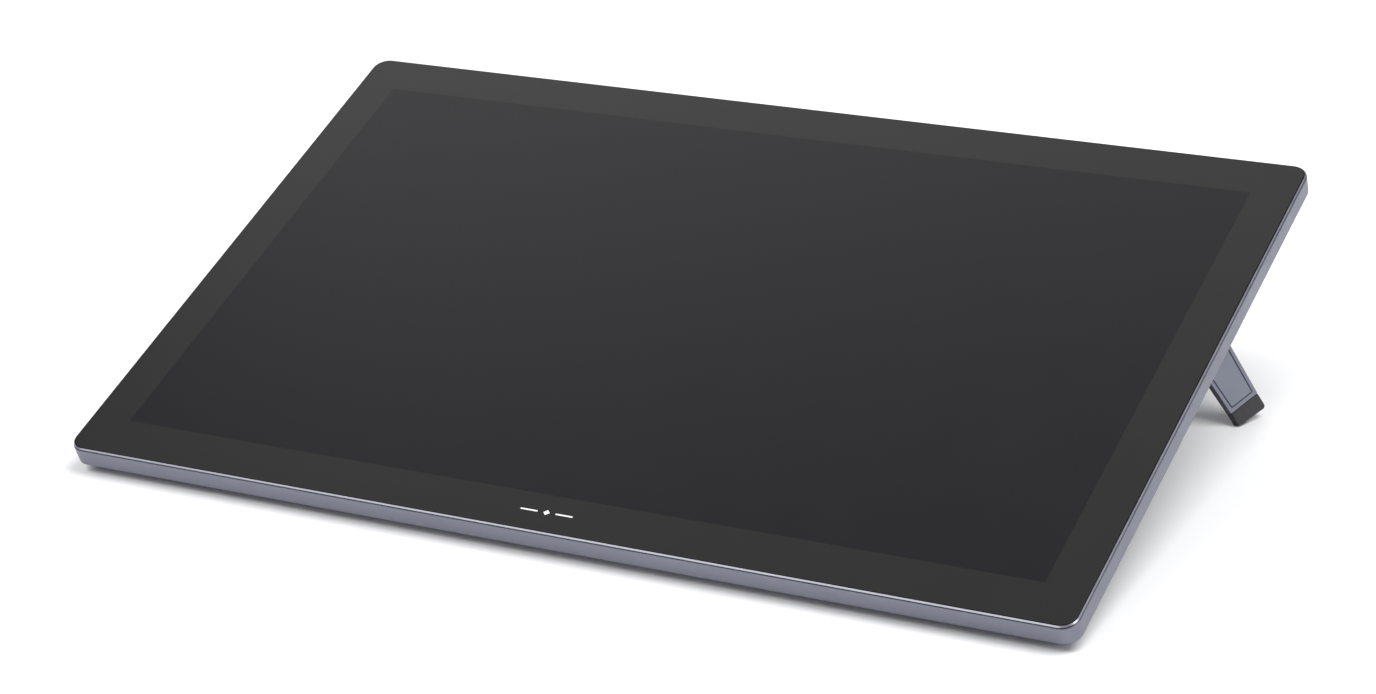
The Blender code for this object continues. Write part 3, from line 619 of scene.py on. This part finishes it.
def pocket_place(side):
    """Frame of a folded leg's pocket: X runs from the pin towards the foot, in the back's plane."""
    angle = 180 - LEG_TURN if side > 0 else LEG_TURN
    return Matrix.Translation((side * HINGE_X, HINGE_Y, 0.0)) @ Matrix.Rotation(math.radians(angle), 4, "Z")


def leg_half_width(x):
    return LEG_ROOT_HALF_WIDTH + (LEG_TIP_HALF_WIDTH - LEG_ROOT_HALF_WIDTH) * x / LEG_METAL_LENGTH


def pocket_outline(margin):
    start, end = -POCKET_OUTER_END - margin, LEG_LENGTH + POCKET_CLEARANCE + margin
    near = leg_half_width(start) + POCKET_CLEARANCE + margin
    far = leg_half_width(end) + POCKET_CLEARANCE + margin
    corner = 3.0
    return fillet(mirrored([(end, far, corner), (start, near, corner)]), 8, True)


def cover_section():
    """Profile from the flat back round the wall and back along the inside."""
    wall_top, inner_wall, lip = -1.70, 1.5, 0.34
    crown, crown_z = 0.2, -5.5
    corner_z, corner_radius = -12.95, 0.8
    outside = [(16.0, BACK_Z, 0), (SLOPE_INSET, BACK_Z, 8.0), (crown, corner_z, corner_radius),
               (0.0, crown_z, 90.0),
               (0.0, wall_top - 0.30, 0.20), (lip - 0.08, wall_top, 0.05), (lip, wall_top, 0)]
    inside = [(lip, -2.2), (inner_wall, -2.2), (inner_wall, -11.9), (SLOPE_INSET + 0.6, INNER_BACK_Z)]
    return fillet(outside) + inside


def pocket_shapes(side):
    """The solids behind a leg's pocket and then its hollows, in the order they are applied."""
    skin, hinge_skin, hinge_half, hinge_end = 1.5, 1.2, 13.6, 7.6
    for margin, operation, low, high, hinge_high in (
        (skin, "UNION", SUNK_Z, POCKET_FLOOR_Z + skin, HINGE_FLOOR_Z + hinge_skin),
        (0.0, "DIFFERENCE", BELOW_BACK_Z, POCKET_FLOOR_Z, HINGE_FLOOR_Z),
    ):
        plan = shape(add_prism, pocket_outline(margin), low, high)
        hinge = bmesh.new()
        start, half = 0.4 - POCKET_OUTER_END - margin, hinge_half + margin
        add_box(hinge, (start, -half, low + 0.3), (hinge_end + margin, half, hinge_high))
        finger = bmesh.new()
        add_cylinder(finger, (FINGER_X, 0, low + 0.1), (FINGER_X, 0, high - 0.1), FINGER_RADIUS + margin, 48)
        for bm in (plan, hinge, finger):
            bm.transform(pocket_place(side))
            yield bm, operation


def carve_port_bay(cover):
    """The bay's walls, its hollow, and the window that the ports look through."""
    wall, roof, window_half = 1.8, 1.5, 47.0
    middle_y, half_y = (BAY_BACK_Y + BAY_FRONT_Y) / 2, (BAY_BACK_Y - BAY_FRONT_Y) / 2
    low = (-BAY_X - wall, BAY_FRONT_Y - wall, SUNK_Z)
    high = (BAY_X + wall, BAY_BACK_Y + wall, BAY_FLOOR_Z + roof)
    carve(cover, shape(add_box, low, high), "UNION")
    carve(cover, shape(add_prism, rounded(BAY_X, half_y, 2.5, 6, 0.0, middle_y), BELOW_BACK_Z, BAY_FLOOR_Z))
    low = (-window_half, BAY_FRONT_Y - 3.0, -19.4)
    high = (window_half, BAY_FRONT_Y + 1.0, BAY_FLOOR_Z - 0.2)
    carve(cover, shape(add_box, low, high))


def carve_seats(cover):
    """Countersinks and holes for the screws and the mounting pattern, and seats for feet and pads."""
    hole_top, pad_seat_z = -19.0, -20.4
    seats, holes = bmesh.new(), bmesh.new()
    for places, seat_z, seat_radius, hole_radius, steps in (
        (screw_places(), SUNK_Z, 2.7, 1.5, (36, 24)),
        (vesa_places(), -20.6, 4.2, 2.4, (48, 36)),
    ):
        for x, y in places:
            add_cylinder(seats, (x, y, seat_z), (x, y, BELOW_BACK_Z), seat_radius, steps[0])
            add_cylinder(holes, (x, y, hole_top), (x, y, BELOW_BACK_Z), hole_radius, steps[1])
    for side in (-1, 1):
        half_length, half_width = FRONT_FOOT_HALF_LENGTH + GAP, FRONT_FOOT_HALF_WIDTH + 0.05 + GAP
        seat = rounded(half_length, half_width, 5.2, 12, side * FRONT_FOOT_X, FRONT_FOOT_Y)
        add_prism(seats, seat, pad_seat_z, BELOW_BACK_Z)
        pad = (side * REAR_PAD_X, REAR_PAD_Y)
        add_cylinder(seats, (*pad, pad_seat_z), (*pad, BELOW_BACK_Z), REAR_PAD_RADIUS + GAP, 56)
    carve(cover, seats)
    carve(cover, holes)


def carve_slots(cover):
    """The vents in the back and the button slots in the top edge."""
    slots = bmesh.new()
    for step in range(-VENT_STEPS, VENT_STEPS + 1):
        vent = rounded(VENT_HALF_WIDTH, VENT_HALF_LENGTH, 1.08, 6, step * VENT_PITCH, VENT_Y)
        add_prism(slots, vent, BELOW_BACK_Z, INNER_BACK_Z + 0.5)
    for _, x, half in BUTTONS:
        slot = rounded(half + GAP, 2.0, 1.9, 8, x, BUTTON_Z)
        add_prism(slots, slot, OUTLINE_Y - 3.0, OUTLINE_Y + 1.0, "Y")
    carve(cover, slots)


def make_cover():
    """The tray with its pockets, port bay, mounting holes, vents, seats and button slots."""
    cover = new_solid("back_cover", shape(add_skin, [inset_loop(inset, z) for inset, z in cover_section()]))
    for side in (-1, 1):
        for bm, operation in pocket_shapes(side):
            carve(cover, bm, operation)
    carve_port_bay(cover)
    carve_seats(cover)
    carve_slots(cover)
    finish_piece(cover, "anodised", ["rear_cover"], edge=0.22)


def make_vent_mesh():
    """A dark dust screen of crossed wires behind the vents."""
    reach_x, reach_y, pitch, half = VENT_STEPS * VENT_PITCH + 4.0, VENT_HALF_LENGTH + 2.0, 1.3, 0.24
    low, middle, high = INNER_BACK_Z + 0.1, INNER_BACK_Z + 0.35, INNER_BACK_Z + 0.6
    bm = bmesh.new()
    for step in range(int(2 * reach_x / pitch) + 1):
        x = step * pitch - reach_x
        add_box(bm, (x - half, VENT_Y - reach_y, low), (x + half, VENT_Y + reach_y, middle))
    for step in range(int(2 * reach_y / pitch) + 1):
        y = VENT_Y + step * pitch - reach_y
        add_box(bm, (-reach_x, y - half, middle), (reach_x, y + half, high))
    finish_piece(new_solid("vent_mesh", bm), "tape")


def make_screws():
    """Flat cap screws with a hexagonal recess."""
    profile = ((1.15, -12.0), (1.15, -20.42), (2.3, -20.45), (2.3, -20.72), (2.22, -20.84), (2.05, -20.93),
               (1.85, -20.96))
    recess_floor, recess_radius = -20.6, 0.95
    for number, (x, y) in enumerate(screw_places(), 1):
        screw = new_solid(f"back_screw_{number}", shape(add_skin, turned(profile, x=x, y=y)))
        carve(screw, shape(add_cylinder, (x, y, recess_floor), (x, y, BELOW_BACK_Z), recess_radius, 6))
        finish_piece(screw, "dark_steel", [f"rear_screw_{number}"], edge=0.05, angle=40.0)


def make_front_feet():
    """Rubber ridges with rounded shoulders and fine lengthwise grooves where they stand."""
    half, top_z, length = FRONT_FOOT_HALF_WIDTH, -20.7, FRONT_FOOT_HALF_LENGTH
    low, high = -186.3, -181.8
    for side, node in ((-1, "front_foot_left"), (1, "front_foot_right")):
        ground = (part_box(node)[0].z - ORIGIN.z) / MM

        def ground_z(y):
            return (ground - y * UP_SLOPE.z) / NORMAL.z

        profile = [(FRONT_FOOT_Y - half, top_z, 0), (FRONT_FOOT_Y - half, ground_z(low) + 0.5, 0.3),
                   (low, ground_z(low), 0.4), (high, ground_z(high), 0.8),
                   (high + 3.6, ground_z(high) + 0.9, 1.2), (FRONT_FOOT_Y + half, ground_z(high) + 2.2, 0.4),
                   (FRONT_FOOT_Y + half, top_z, 0)]
        middle = side * FRONT_FOOT_X
        bm = shape(add_prism, fillet(profile, 4), middle - length - 1.0, middle + length + 1.0, "X")
        foot = new_solid(f"rubber_{node}", bm)
        plan = rounded(length, half, half - 0.15, 12, middle, FRONT_FOOT_Y)
        carve(foot, shape(add_prism, plan, -30.0, -15.0), "INTERSECT")
        grooves = bmesh.new()
        for y in (-185.2, -184.0, -182.8):
            start = (middle - length + 6.0, y - 0.2, ground_z(y) - 1.0)
            add_box(grooves, start, (middle + length - 6.0, y + 0.2, ground_z(y) + 0.3))
        carve(foot, grooves)
        finish_piece(foot, "rubber", [node], edge=0.12)


def make_rear_pads():
    """Turned rubber pads with a shallow ring groove."""
    profile = ((9.0, -20.7), (9.0, -22.9), (8.8, -23.3), (8.35, -23.55), (7.9, -23.6), (6.9, -23.6),
               (6.6, -23.4), (6.2, -23.4), (5.9, -23.6), (3.0, -23.6), (2.6, -23.45))
    for side, node in ((-1, "rear_pad_left"), (1, "rear_pad_right")):
        bm = shape(add_skin, turned(profile, x=side * REAR_PAD_X, y=REAR_PAD_Y, steps=60))
        finish_piece(new_solid(f"rubber_{node}", bm), "rubber", [node])


# Legs and hinges.


def leg_place(side):
    """Frame of an open leg in the model, from its hinge."""
    turn, drop = math.radians(LEG_TURN), math.radians(LEG_DROP)
    outward, inward = math.cos(drop) * math.cos(turn), math.cos(drop) * math.sin(turn)
    along = Vector((side * outward, -inward, -math.sin(drop)))
    pin = Vector((math.sin(turn), side * math.cos(turn), 0.0))
    place = Matrix((along, pin, along.cross(pin))).transposed().to_4x4()
    place.translation = Vector((side * HINGE_X, HINGE_Y, HINGE_Z)) * MM
    return TABLET @ place


def plate_loop(inset, z, corner):
    """The metal face's outline drawn in by an inset."""
    start, end = 5.2 + inset, LEG_METAL_LENGTH - inset
    half_outline = [(x, leg_half_width(x) - inset, corner) for x in (end, start)]
    return [(x, y, z) for x, y in fillet(mirrored(half_outline), 5, True)]


def make_leg_plate(side, where):
    """Metal face: a flat rim, a fine groove and an inlay just under the rim. The groove is lined with dark
    plastic as painted shade.
    """
    low, high = LEG_BACKING_Z + 0.2, LEG_HALF_THICKNESS
    # Inset, depth under the face, corner radius, finish of the band that follows: 0 rim, 1 inlay, 2 groove,
    # lined with dark plastic as painted shade.
    section = (
        (0.0, high - low, 0.30, 0), (0.0, 0.16, 0.30, 0), (0.05, 0.05, 0.30, 0), (0.16, 0.0, 0.30, 0),
        (2.12, 0.0, 0.50, 0), (2.20, 0.03, 0.50, 0), (2.58, 0.44, 0.50, 2), (2.62, 0.72, 0.50, 2),
        (2.90, 0.72, 0.45, 2), (2.94, 0.28, 0.40, 1), (3.00, 0.18, 0.40, 1), (3.12, 0.14, 0.40, 1),
    )
    bm = bmesh.new()
    loops = [plate_loop(inset, high - depth, corner) for inset, depth, corner, _ in section]
    rows = add_skin(bm, loops, finishes=[band for *_, band in section])
    bm.faces.get(rows[-1]).material_index = 1
    plate = new_solid(f"{where}_leg_face", bm, leg_place(side))
    # The dark plastic in the groove of the metal face is painted shade.
    finish_piece(plate, "anodised leg_panel plastic", [f"{where}_leg_plate"], f"{where}_leg")


def make_leg_body(side, where):
    """Moulded body with its barrel, a tongue for the foot, and a recess and grip ribs underneath."""
    radius, thick, metal = LEG_HALF_THICKNESS, LEG_HALF_THICKNESS, LEG_METAL_LENGTH
    tongue = metal + 5.0
    profile = arc((0.0, 0.0), radius, 270, 90, 32)
    profile += [(3.9, thick), (3.9, LEG_BACKING_Z), (metal, LEG_BACKING_Z), (metal, TONGUE_TOP_Z),
                (tongue, TONGUE_TOP_Z), (tongue, TONGUE_BOTTOM_Z), (metal, TONGUE_BOTTOM_Z), (metal, -thick)]
    body = new_solid(f"{where}_leg_moulding", shape(add_prism, profile, -20.0, 20.0, "Y"), leg_place(side))
    root, tongue_half = 5.0, 7.0
    half_plan = [(-4.0, BARREL_HALF_LENGTH), (root, BARREL_HALF_LENGTH), (root, leg_half_width(root)),
                 (metal, LEG_TIP_HALF_WIDTH), (metal, tongue_half), (tongue + 1.0, tongue_half)]
    carve(body, shape(add_prism, mirrored(half_plan), -5.0, 5.0), "INTERSECT")
    carve(body, shape(add_cylinder, (0, -20, 0), (0, 20, 0), PIN_HOLE_RADIUS, 36))
    recess = bmesh.new()
    first, last, rim, corner = 12.0, 76.0, 3.4, 2.5
    half_recess = [(x, leg_half_width(x) - rim, corner) for x in (last, first)]
    add_prism(recess, fillet(mirrored(half_recess), 5, True), -5.0, 0.6 - thick)
    first_groove, groove_pitch = 81.5, 3.4
    for step in range(6):
        groove = rounded(0.8, 7.2, 0.75, 5, first_groove + step * groove_pitch, 0.0)
        add_prism(recess, groove, -5.0, 0.55 - thick)
    carve(body, recess)
    ribs = bmesh.new()
    for x in (28.0, 44.0, 60.0):
        add_box(ribs, (x - 0.6, rim + 1.0 - leg_half_width(x), -thick + 0.15),
                (x + 0.6, leg_half_width(x) - rim - 1.0, -thick + 1.0))
    carve(body, ribs, "UNION")
    finish_piece(body, "plastic", [f"{where}_leg_body"], f"{where}_leg", edge=0.25, steps=3)


def make_leg_foot(side, where):
    """Rubber cap, cut flat where it stands, with grip grooves underneath."""
    start, corner, thick, width = LEG_METAL_LENGTH + GAP, 2.2, LEG_HALF_THICKNESS, LEG_TIP_HALF_WIDTH
    ends = [LEG_LENGTH - LEG_END_SLANT * width * (1 - side * end) for end in (1, -1)]
    corners = [(start, width, 0), (ends[0], width, corner), (ends[1], -width, corner), (start, -width, 0)]
    outline = fillet(corners, 10, True)
    foot = new_solid(f"{where}_rubber_foot", shape(add_prism, outline, -thick, thick), leg_place(side))
    round_edges(foot, 0.35, 4, 60.0)
    play, socket_half = 0.25, 7.25
    low = (start - 1.0, -socket_half, TONGUE_BOTTOM_Z - play)
    high = (start + 5.0, socket_half, TONGUE_TOP_Z + play)
    carve(foot, shape(add_box, low, high))
    cut_at_tabletop(foot)
    grooves = bmesh.new()
    for x in (106.6, 108.4, 110.2):
        add_box(grooves, (x - 0.35, -width + 2.2, -thick - 1.0), (x + 0.35, width - 2.2, -thick + 0.4))
    carve(foot, grooves)
    finish_piece(foot, "rubber", [f"{where}_leg_foot"], f"{where}_leg")


def make_hinge(side, where):
    """Bracket with rounded ears, a pin with chamfered ends, and two friction washers."""
    place = TABLET @ Matrix.Translation(Vector((0, 0, HINGE_Z)) * MM)
    pocket = pocket_place(side)
    pocket.translation *= MM
    place = place @ pocket
    base_top, base_bottom = HINGE_FLOOR_Z - GAP - HINGE_Z, HINGE_FLOOR_Z - 1.2 - HINGE_Z
    ear_end, ear_back, ear_front, ear_radius = -2.2, -3.2, 3.4, 1.9
    section = [(-EAR_OUTER, ear_end), (-EAR_OUTER, base_top), (EAR_OUTER, base_top), (EAR_OUTER, ear_end),
               (EAR_INNER, ear_end), (EAR_INNER, base_bottom), (-EAR_INNER, base_bottom),
               (-EAR_INNER, ear_end)]
    bracket = new_solid(f"{where}_hinge_yoke", shape(add_prism, section, ear_back, ear_front, "X"), place)
    side_view = [(ear_back, 6.0, 0), (ear_back, ear_end, ear_radius), (ear_front, ear_end, ear_radius),
                 (ear_front, 6.0, 0)]
    carve(bracket, shape(add_prism, fillet(side_view, 8, True), -20.0, 20.0, "Y"), "INTERSECT")
    carve(bracket, shape(add_cylinder, (0, -20, 0), (0, 20, 0), PIN_HOLE_RADIUS, 36))
    finish_piece(bracket, "dark_steel", [f"{where}_hinge_bracket"], edge=0.15)
    end, bevel = 13.0, 0.3
    profile = ((PIN_RADIUS - bevel, -end), (PIN_RADIUS, bevel - end), (PIN_RADIUS, end - bevel),
               (PIN_RADIUS - bevel, end))
    pin = new_solid(f"{where}_pin", shape(add_skin, turned(profile, "Y")), place)
    finish_piece(pin, "plated_steel", [f"{where}_hinge_pin"])
    rings = ((PIN_HOLE_RADIUS, 10.2), (2.1, 10.2), (2.2, 10.28), (2.2, 10.52), (2.1, 10.6),
             (PIN_HOLE_RADIUS, 10.6))
    for sign, label in ((-1, "lower"), (1, "upper")):
        bm = shape(add_skin, turned([(radius, sign * y) for radius, y in rings], "Y"), ring=True)
        washer = new_solid(f"{where}_washer_{label}", bm, place)
        finish_piece(washer, "spring_steel", [f"{where}_friction_washer_{label}"])


# Ports, buttons and mounting inserts.


def port_outline(kind, half, height, margin=0.0):
    """Outline of a port as (X, Z) pairs round its middle."""
    wide, tall = half + margin, height / 2 + margin
    if kind == "oval":
        return rounded(wide, tall, tall - 0.02, 8)
    if kind == "wedge":
        cut = 1.5
        corners = [(wide, tall, 0.5), (-wide, tall, 0.5), (-wide, -tall + cut, 0.5),
                   (-wide + cut, -tall, 0.5), (wide - cut, -tall, 0.5), (wide, -tall + cut, 0.5)]
        return fillet(corners, 4, True)
    if kind == "cut_corner":
        cut = 1.3
        corners = [(wide, tall, 0.4), (-wide, tall, 0.4), (-wide, -tall, 0.4), (wide - cut, -tall, 0.4),
                   (wide, -tall + cut, 0.4)]
        return fillet(corners, 4, True)
    return rounded(wide, tall, 0.9, 6)


def make_ports():
    """Plated shells with their tongues and contacts, and the moulded bezel in front of them."""
    front, back = 65.0, BAY_FRONT_Y + 1.3
    bezel_half, bezel_half_height, bezel_z = 49.0, 3.35, -17.25
    plate = rounded(bezel_half, bezel_half_height, 0.6, 5, 0.0, bezel_z)
    bm = shape(add_prism, plate, BAY_FRONT_Y + GAP, BAY_FRONT_Y + 1.5, "Y")
    bezel = new_solid("port_surround", bm)
    openings = bmesh.new()
    for name, x, half, height, kind in PORTS:
        middle = PORT_TOP_Z - height / 2
        add_prism(openings, offset(port_outline(kind, half, height, 0.2), x, middle), 70.0, 90.0, "Y")
        bm = shape(add_prism, offset(port_outline(kind, half, height), x, middle), front, back, "Y")
        shell = new_solid(f"{name}_shell", bm)
        hollow = bmesh.new()
        if kind == "round":
            add_cylinder(hollow, (x, front + 2.0, middle), (x, back + 1.0, middle), height / 2 - 0.4, 40)
        else:
            hole = offset(port_outline(kind, half, height, -0.4), x, middle)
            add_prism(hollow, hole, front + 2.0, back + 1.0, "Y")
        carve(shell, hollow)
        finish = "plastic" if kind == "round" else "plated_steel"
        finish_piece(shell, finish, [name], edge=0.08)
        make_port_inside(name, x, half, middle, kind, front, back)
    carve(bezel, openings)
    finish_piece(bezel, "plastic", ["port_bezel"], edge=0.12)


def make_port_inside(name, x, half, middle, kind, front, back):
    """A pin, or a tongue with a row of contacts on both sides."""
    if kind == "round":
        profile = ((0.55, front + 2.0), (0.55, back - 2.2), (0.45, back - 1.9), (0.2, back - 1.75))
        bm = shape(add_skin, turned(profile, "Y", x=x, z=middle, steps=24))
        finish_piece(new_solid(f"{name}_pin", bm), "plated_steel")
        return
    wide, thick, tip = half - 1.6, 0.35, back - 1.4
    bm = shape(add_prism, rounded(wide, thick, 0.15, 4, x, middle), front + 2.0, tip, "Y")
    finish_piece(new_solid(f"{name}_tongue", bm), "chip", edge=0.1)
    contacts = bmesh.new()
    count = 9 if kind != "oval" else 6
    for step in range(count):
        place = x + (step - (count - 1) / 2) * 2 * (wide - 0.5) / (count - 1)
        for side in (-1, 1):
            low, high = sorted((middle + side * thick, middle + side * (thick + 0.05)))
            add_box(contacts, (place - 0.18, front + 4.0, low), (place + 0.18, tip - 0.5, high))
    finish_piece(new_solid(f"{name}_contacts", contacts), "gold")


def make_buttons():
    """Caps with rounded rims and a shallow dish, each with its flange."""
    flange_y = 193.4
    for name, x, half in BUTTONS:
        top, loops = OUTLINE_Y + 0.6, []
        for inset, y in ((0.0, flange_y + 1.0), (0.0, top - 0.3), (0.09, top - 0.09), (0.3, top), (0.55, top),
                         (0.9, top - 0.12)):
            outline = rounded(half - inset, 1.7 - inset, 1.6 - inset, 10, x, BUTTON_Z)
            loops.append([(a, y, b) for a, b in outline])
        cap = new_solid(f"{name}_cap", shape(add_skin, loops))
        flange = rounded(half + 1.5, 2.7, 0.8, 5, x, BUTTON_Z)
        carve(cap, shape(add_prism, flange, flange_y, flange_y + 2.4, "Y"), "UNION")
        finish_piece(cap, "button", [name], name)


def make_vesa_inserts():
    """Knurled brass inserts with a threaded bore."""
    top, bottom, turns = -14.6, -19.2, 7
    for number, (x, y) in enumerate(vesa_places(), 1):
        profile = [(3.4, top - 0.2), (3.2, top), (2.1, top)]
        pitch = (top - bottom) / turns
        for turn in range(turns):
            z = top - pitch * (turn + 0.5)
            profile += [(1.92, z + pitch * 0.3), (2.12, z), (1.92, z - pitch * 0.3)]
        profile += [(2.1, bottom), (3.2, bottom), (3.4, bottom + 0.2), (3.4, -17.6), (3.15, -17.5),
                    (3.15, -16.3), (3.4, -16.2)]
        bm = shape(add_skin, turned(profile, x=x, y=y), ring=True)
        finish_piece(new_solid(f"brass_insert_{number}", bm), "brass", [f"vesa_insert_{number}"])


# Parts inside.


def add_chip(resin, metal, x, y, half_x, half_y, leads):
    """A chip on a board's back, with bent leads along two sides."""
    height, clearance, lead_half, lead_inset = 1.4, 0.12, 0.16, 0.7
    plan = rounded(half_x, half_y, 0.3, 2, x, y)
    add_prism(resin, plan, BOARD_BACK_Z - height, BOARD_BACK_Z - clearance)
    # One lead's section: distance out of the chip, and height over the board.
    wing = ((0.0, 0.72), (0.5, 0.72), (0.68, 0.14), (1.25, 0.14), (1.25, 0.0), (0.56, 0.0), (0.38, 0.58),
            (0.0, 0.58))
    for step in range(leads):
        middle = x + (2 * step / (leads - 1) - 1) * (half_x - lead_inset)
        for side in (-1, 1):
            section = [(y + side * (half_y + out), BOARD_BACK_Z - high) for out, high in wing]
            add_prism(metal, section, middle - lead_half, middle + lead_half, "X")


def add_small_parts(resin, metal, start, end, y):
    """A row of two-ended parts."""
    pitch, cap_x = 4.0, 0.95
    for step in range(int((end - start) / pitch) + 1):
        x = start + step * pitch
        middle = rounded(0.7, 0.55, 0.1, 2, x, y)
        add_prism(resin, middle, BOARD_BACK_Z - 0.85, BOARD_BACK_Z - 0.05)
        for side in (-1, 1):
            cap = rounded(0.25, 0.62, 0.1, 2, x + side * cap_x, y)
            add_prism(metal, cap, BOARD_BACK_Z - 0.92, BOARD_BACK_Z)


def make_board_parts():
    """Chips and small parts on the main board and the pen controller."""
    for name, chips, rows in (("main", MAIN_CHIPS, MAIN_ROWS), ("pen", PEN_CHIPS, PEN_ROWS)):
        resin, metal = bmesh.new(), bmesh.new()
        for chip in chips:
            add_chip(resin, metal, *chip)
        for row in rows:
            add_small_parts(resin, metal, *row)
        finish_piece(new_solid(f"{name}_board_chips", resin), "chip")
        finish_piece(new_solid(f"{name}_board_leads", metal), "solder")


def make_shield_can():
    """Pressed can with rounded edges and a grid of shallow round dimples."""
    half_x, half_y, middle_y, skirt, lid = 20.0, 15.0, 27.0, -14.0, -16.8
    loops = []
    for inset, z in ((0.0, skirt), (0.0, lid + 0.6), (0.18, lid + 0.18), (0.6, lid)):
        outline = rounded(half_x - inset, half_y - inset, 1.4, 6, 0.0, middle_y)
        loops.append([(x, y, z) for x, y in outline])
    can = new_solid("board_shield", shape(add_skin, loops))
    dimples = bmesh.new()
    pitch_x, pitch_y, dimple_radius, dimple_depth = 3.2, 3.4, 0.6, 0.35
    for column in range(-5, 6):
        for row in range(-3, 4):
            x, y = column * pitch_x, middle_y + row * pitch_y
            add_cylinder(dimples, (x, y, lid + dimple_depth), (x, y, lid - 1.0), dimple_radius, 16)
    carve(can, dimples)
    finish_piece(can, "plated_steel", ["shield_can"])


def make_light_bar_leds():
    """A row of lamps on the light bar, facing the light guide."""
    bm = bmesh.new()
    steps, pitch = 40, 7.25
    for step in range(-steps, steps + 1):
        lamp = rounded(1.75, 1.0, 0.3, 3, step * pitch, LIGHT_BAR_Z)
        add_prism(bm, lamp, LIGHT_BAR_FACE_Y, LIGHT_BAR_FACE_Y + 0.2, "Y")
    finish_piece(new_solid("light_bar_leds", bm), "led")


def finish_carried_nodes():
    """Gives the CAD nodes that stay their finishes."""
    finishes = {
        "backlight_tray": "plated_steel", "button_board": "circuit", "diffuser_film": "film",
        "digitizer_board": "circuit", "digitizer_controller": "circuit", "glass_adhesive": "tape",
        "lcd_cell": "panel", "led_light_bar": "circuit", "light_guide_plate": "acrylic",
        "main_board": "circuit", "panel_cable": "cable", "reflector_sheet": "film",
        "shield_plate": "plated_steel", "vesa_bracket": "dark_steel",
    }
    for node, finish in finishes.items():
        materials = frame["nodes"][node].data.materials
        materials.clear()
        materials.append(FINISH[finish])


# Studio.


def make_stage():
    bm = bmesh.new()
    half = 9.0 / MM
    outline = rounded(half, half, half / 3, 16)
    bm.faces.new([bm.verts.new((x, y, 0.0)) for x, y in outline])
    floor = new_solid("studio_floor", bm, Matrix.Identity(4))
    floor.data.materials.append(stage_finish())


def add_softbox(name, place, size, power):
    """An area light aimed at the middle of the tablet."""
    aim = Vector((0.0, 0.0, 0.05))
    light = bpy.data.lights.new(name, "AREA")
    light.shape = "RECTANGLE"
    light.size, light.size_y = size
    light.energy = power
    lamp = bpy.data.objects.new(name, light)
    lamp.location = place
    lamp.rotation_euler = (aim - lamp.location).to_track_quat("-Z", "Y").to_euler()
    bpy.context.scene.collection.objects.link(lamp)


def light_studio():
    add_softbox("right_overhead_softbox", (1.3, 0.1, 2.7), (1.9, 2.3), 86.0)
    add_softbox("left_overhead_softbox", (-1.4, -1.3, 2.3), (2.0, 1.8), 51.0)
    add_softbox("back_softbox", (-0.9, 2.3, 2.1), (3.6, 1.6), 20.0)
    add_softbox("right_side_softbox", (2.5, -0.35, 0.95), (1.2, 0.9), 9.0)
    add_softbox("front_softbox", (-0.9, -2.55, 1.15), (2.2, 0.9), 5.6)
    world = bpy.data.worlds.new("studio")
    world.use_nodes = True
    background = world.node_tree.nodes["Background"]
    background.inputs["Color"].default_value = (0.93, 0.94, 0.97, 1.0)
    background.inputs["Strength"].default_value = 0.23
    bpy.context.scene.world = world
    bpy.context.scene.view_settings.view_transform = "Standard"


def make_camera():
    """The viewing angle: a long lens from the front right, a little rolled."""
    place = Vector((0.97973, -1.74108, 0.91616))
    target = Vector((0.01887, -0.03262, 0.06894))
    roll = -3.92
    data = bpy.data.cameras.new("camera")
    data.lens = 94.89
    camera = bpy.data.objects.new("camera", data)
    turn = (target - place).to_track_quat("-Z", "Y").to_matrix().to_4x4()
    camera.matrix_world = Matrix.Translation(place) @ turn @ Matrix.Rotation(math.radians(roll), 4, "Z")
    bpy.context.scene.collection.objects.link(camera)
    bpy.context.scene.camera = camera


make_glass()
make_bezel_mark()
make_front_frame()
make_cover()
make_vent_mesh()
make_screws()
make_front_feet()
make_rear_pads()
for SIDE, WHERE in ((-1, "left"), (1, "right")):
    make_leg_plate(SIDE, WHERE)
    make_leg_body(SIDE, WHERE)
    make_leg_foot(SIDE, WHERE)
    make_hinge(SIDE, WHERE)
make_ports()
make_buttons()
make_vesa_inserts()
make_board_parts()
make_shield_can()
make_light_bar_leds()
finish_carried_nodes()
make_stage()
light_studio()
make_camera()
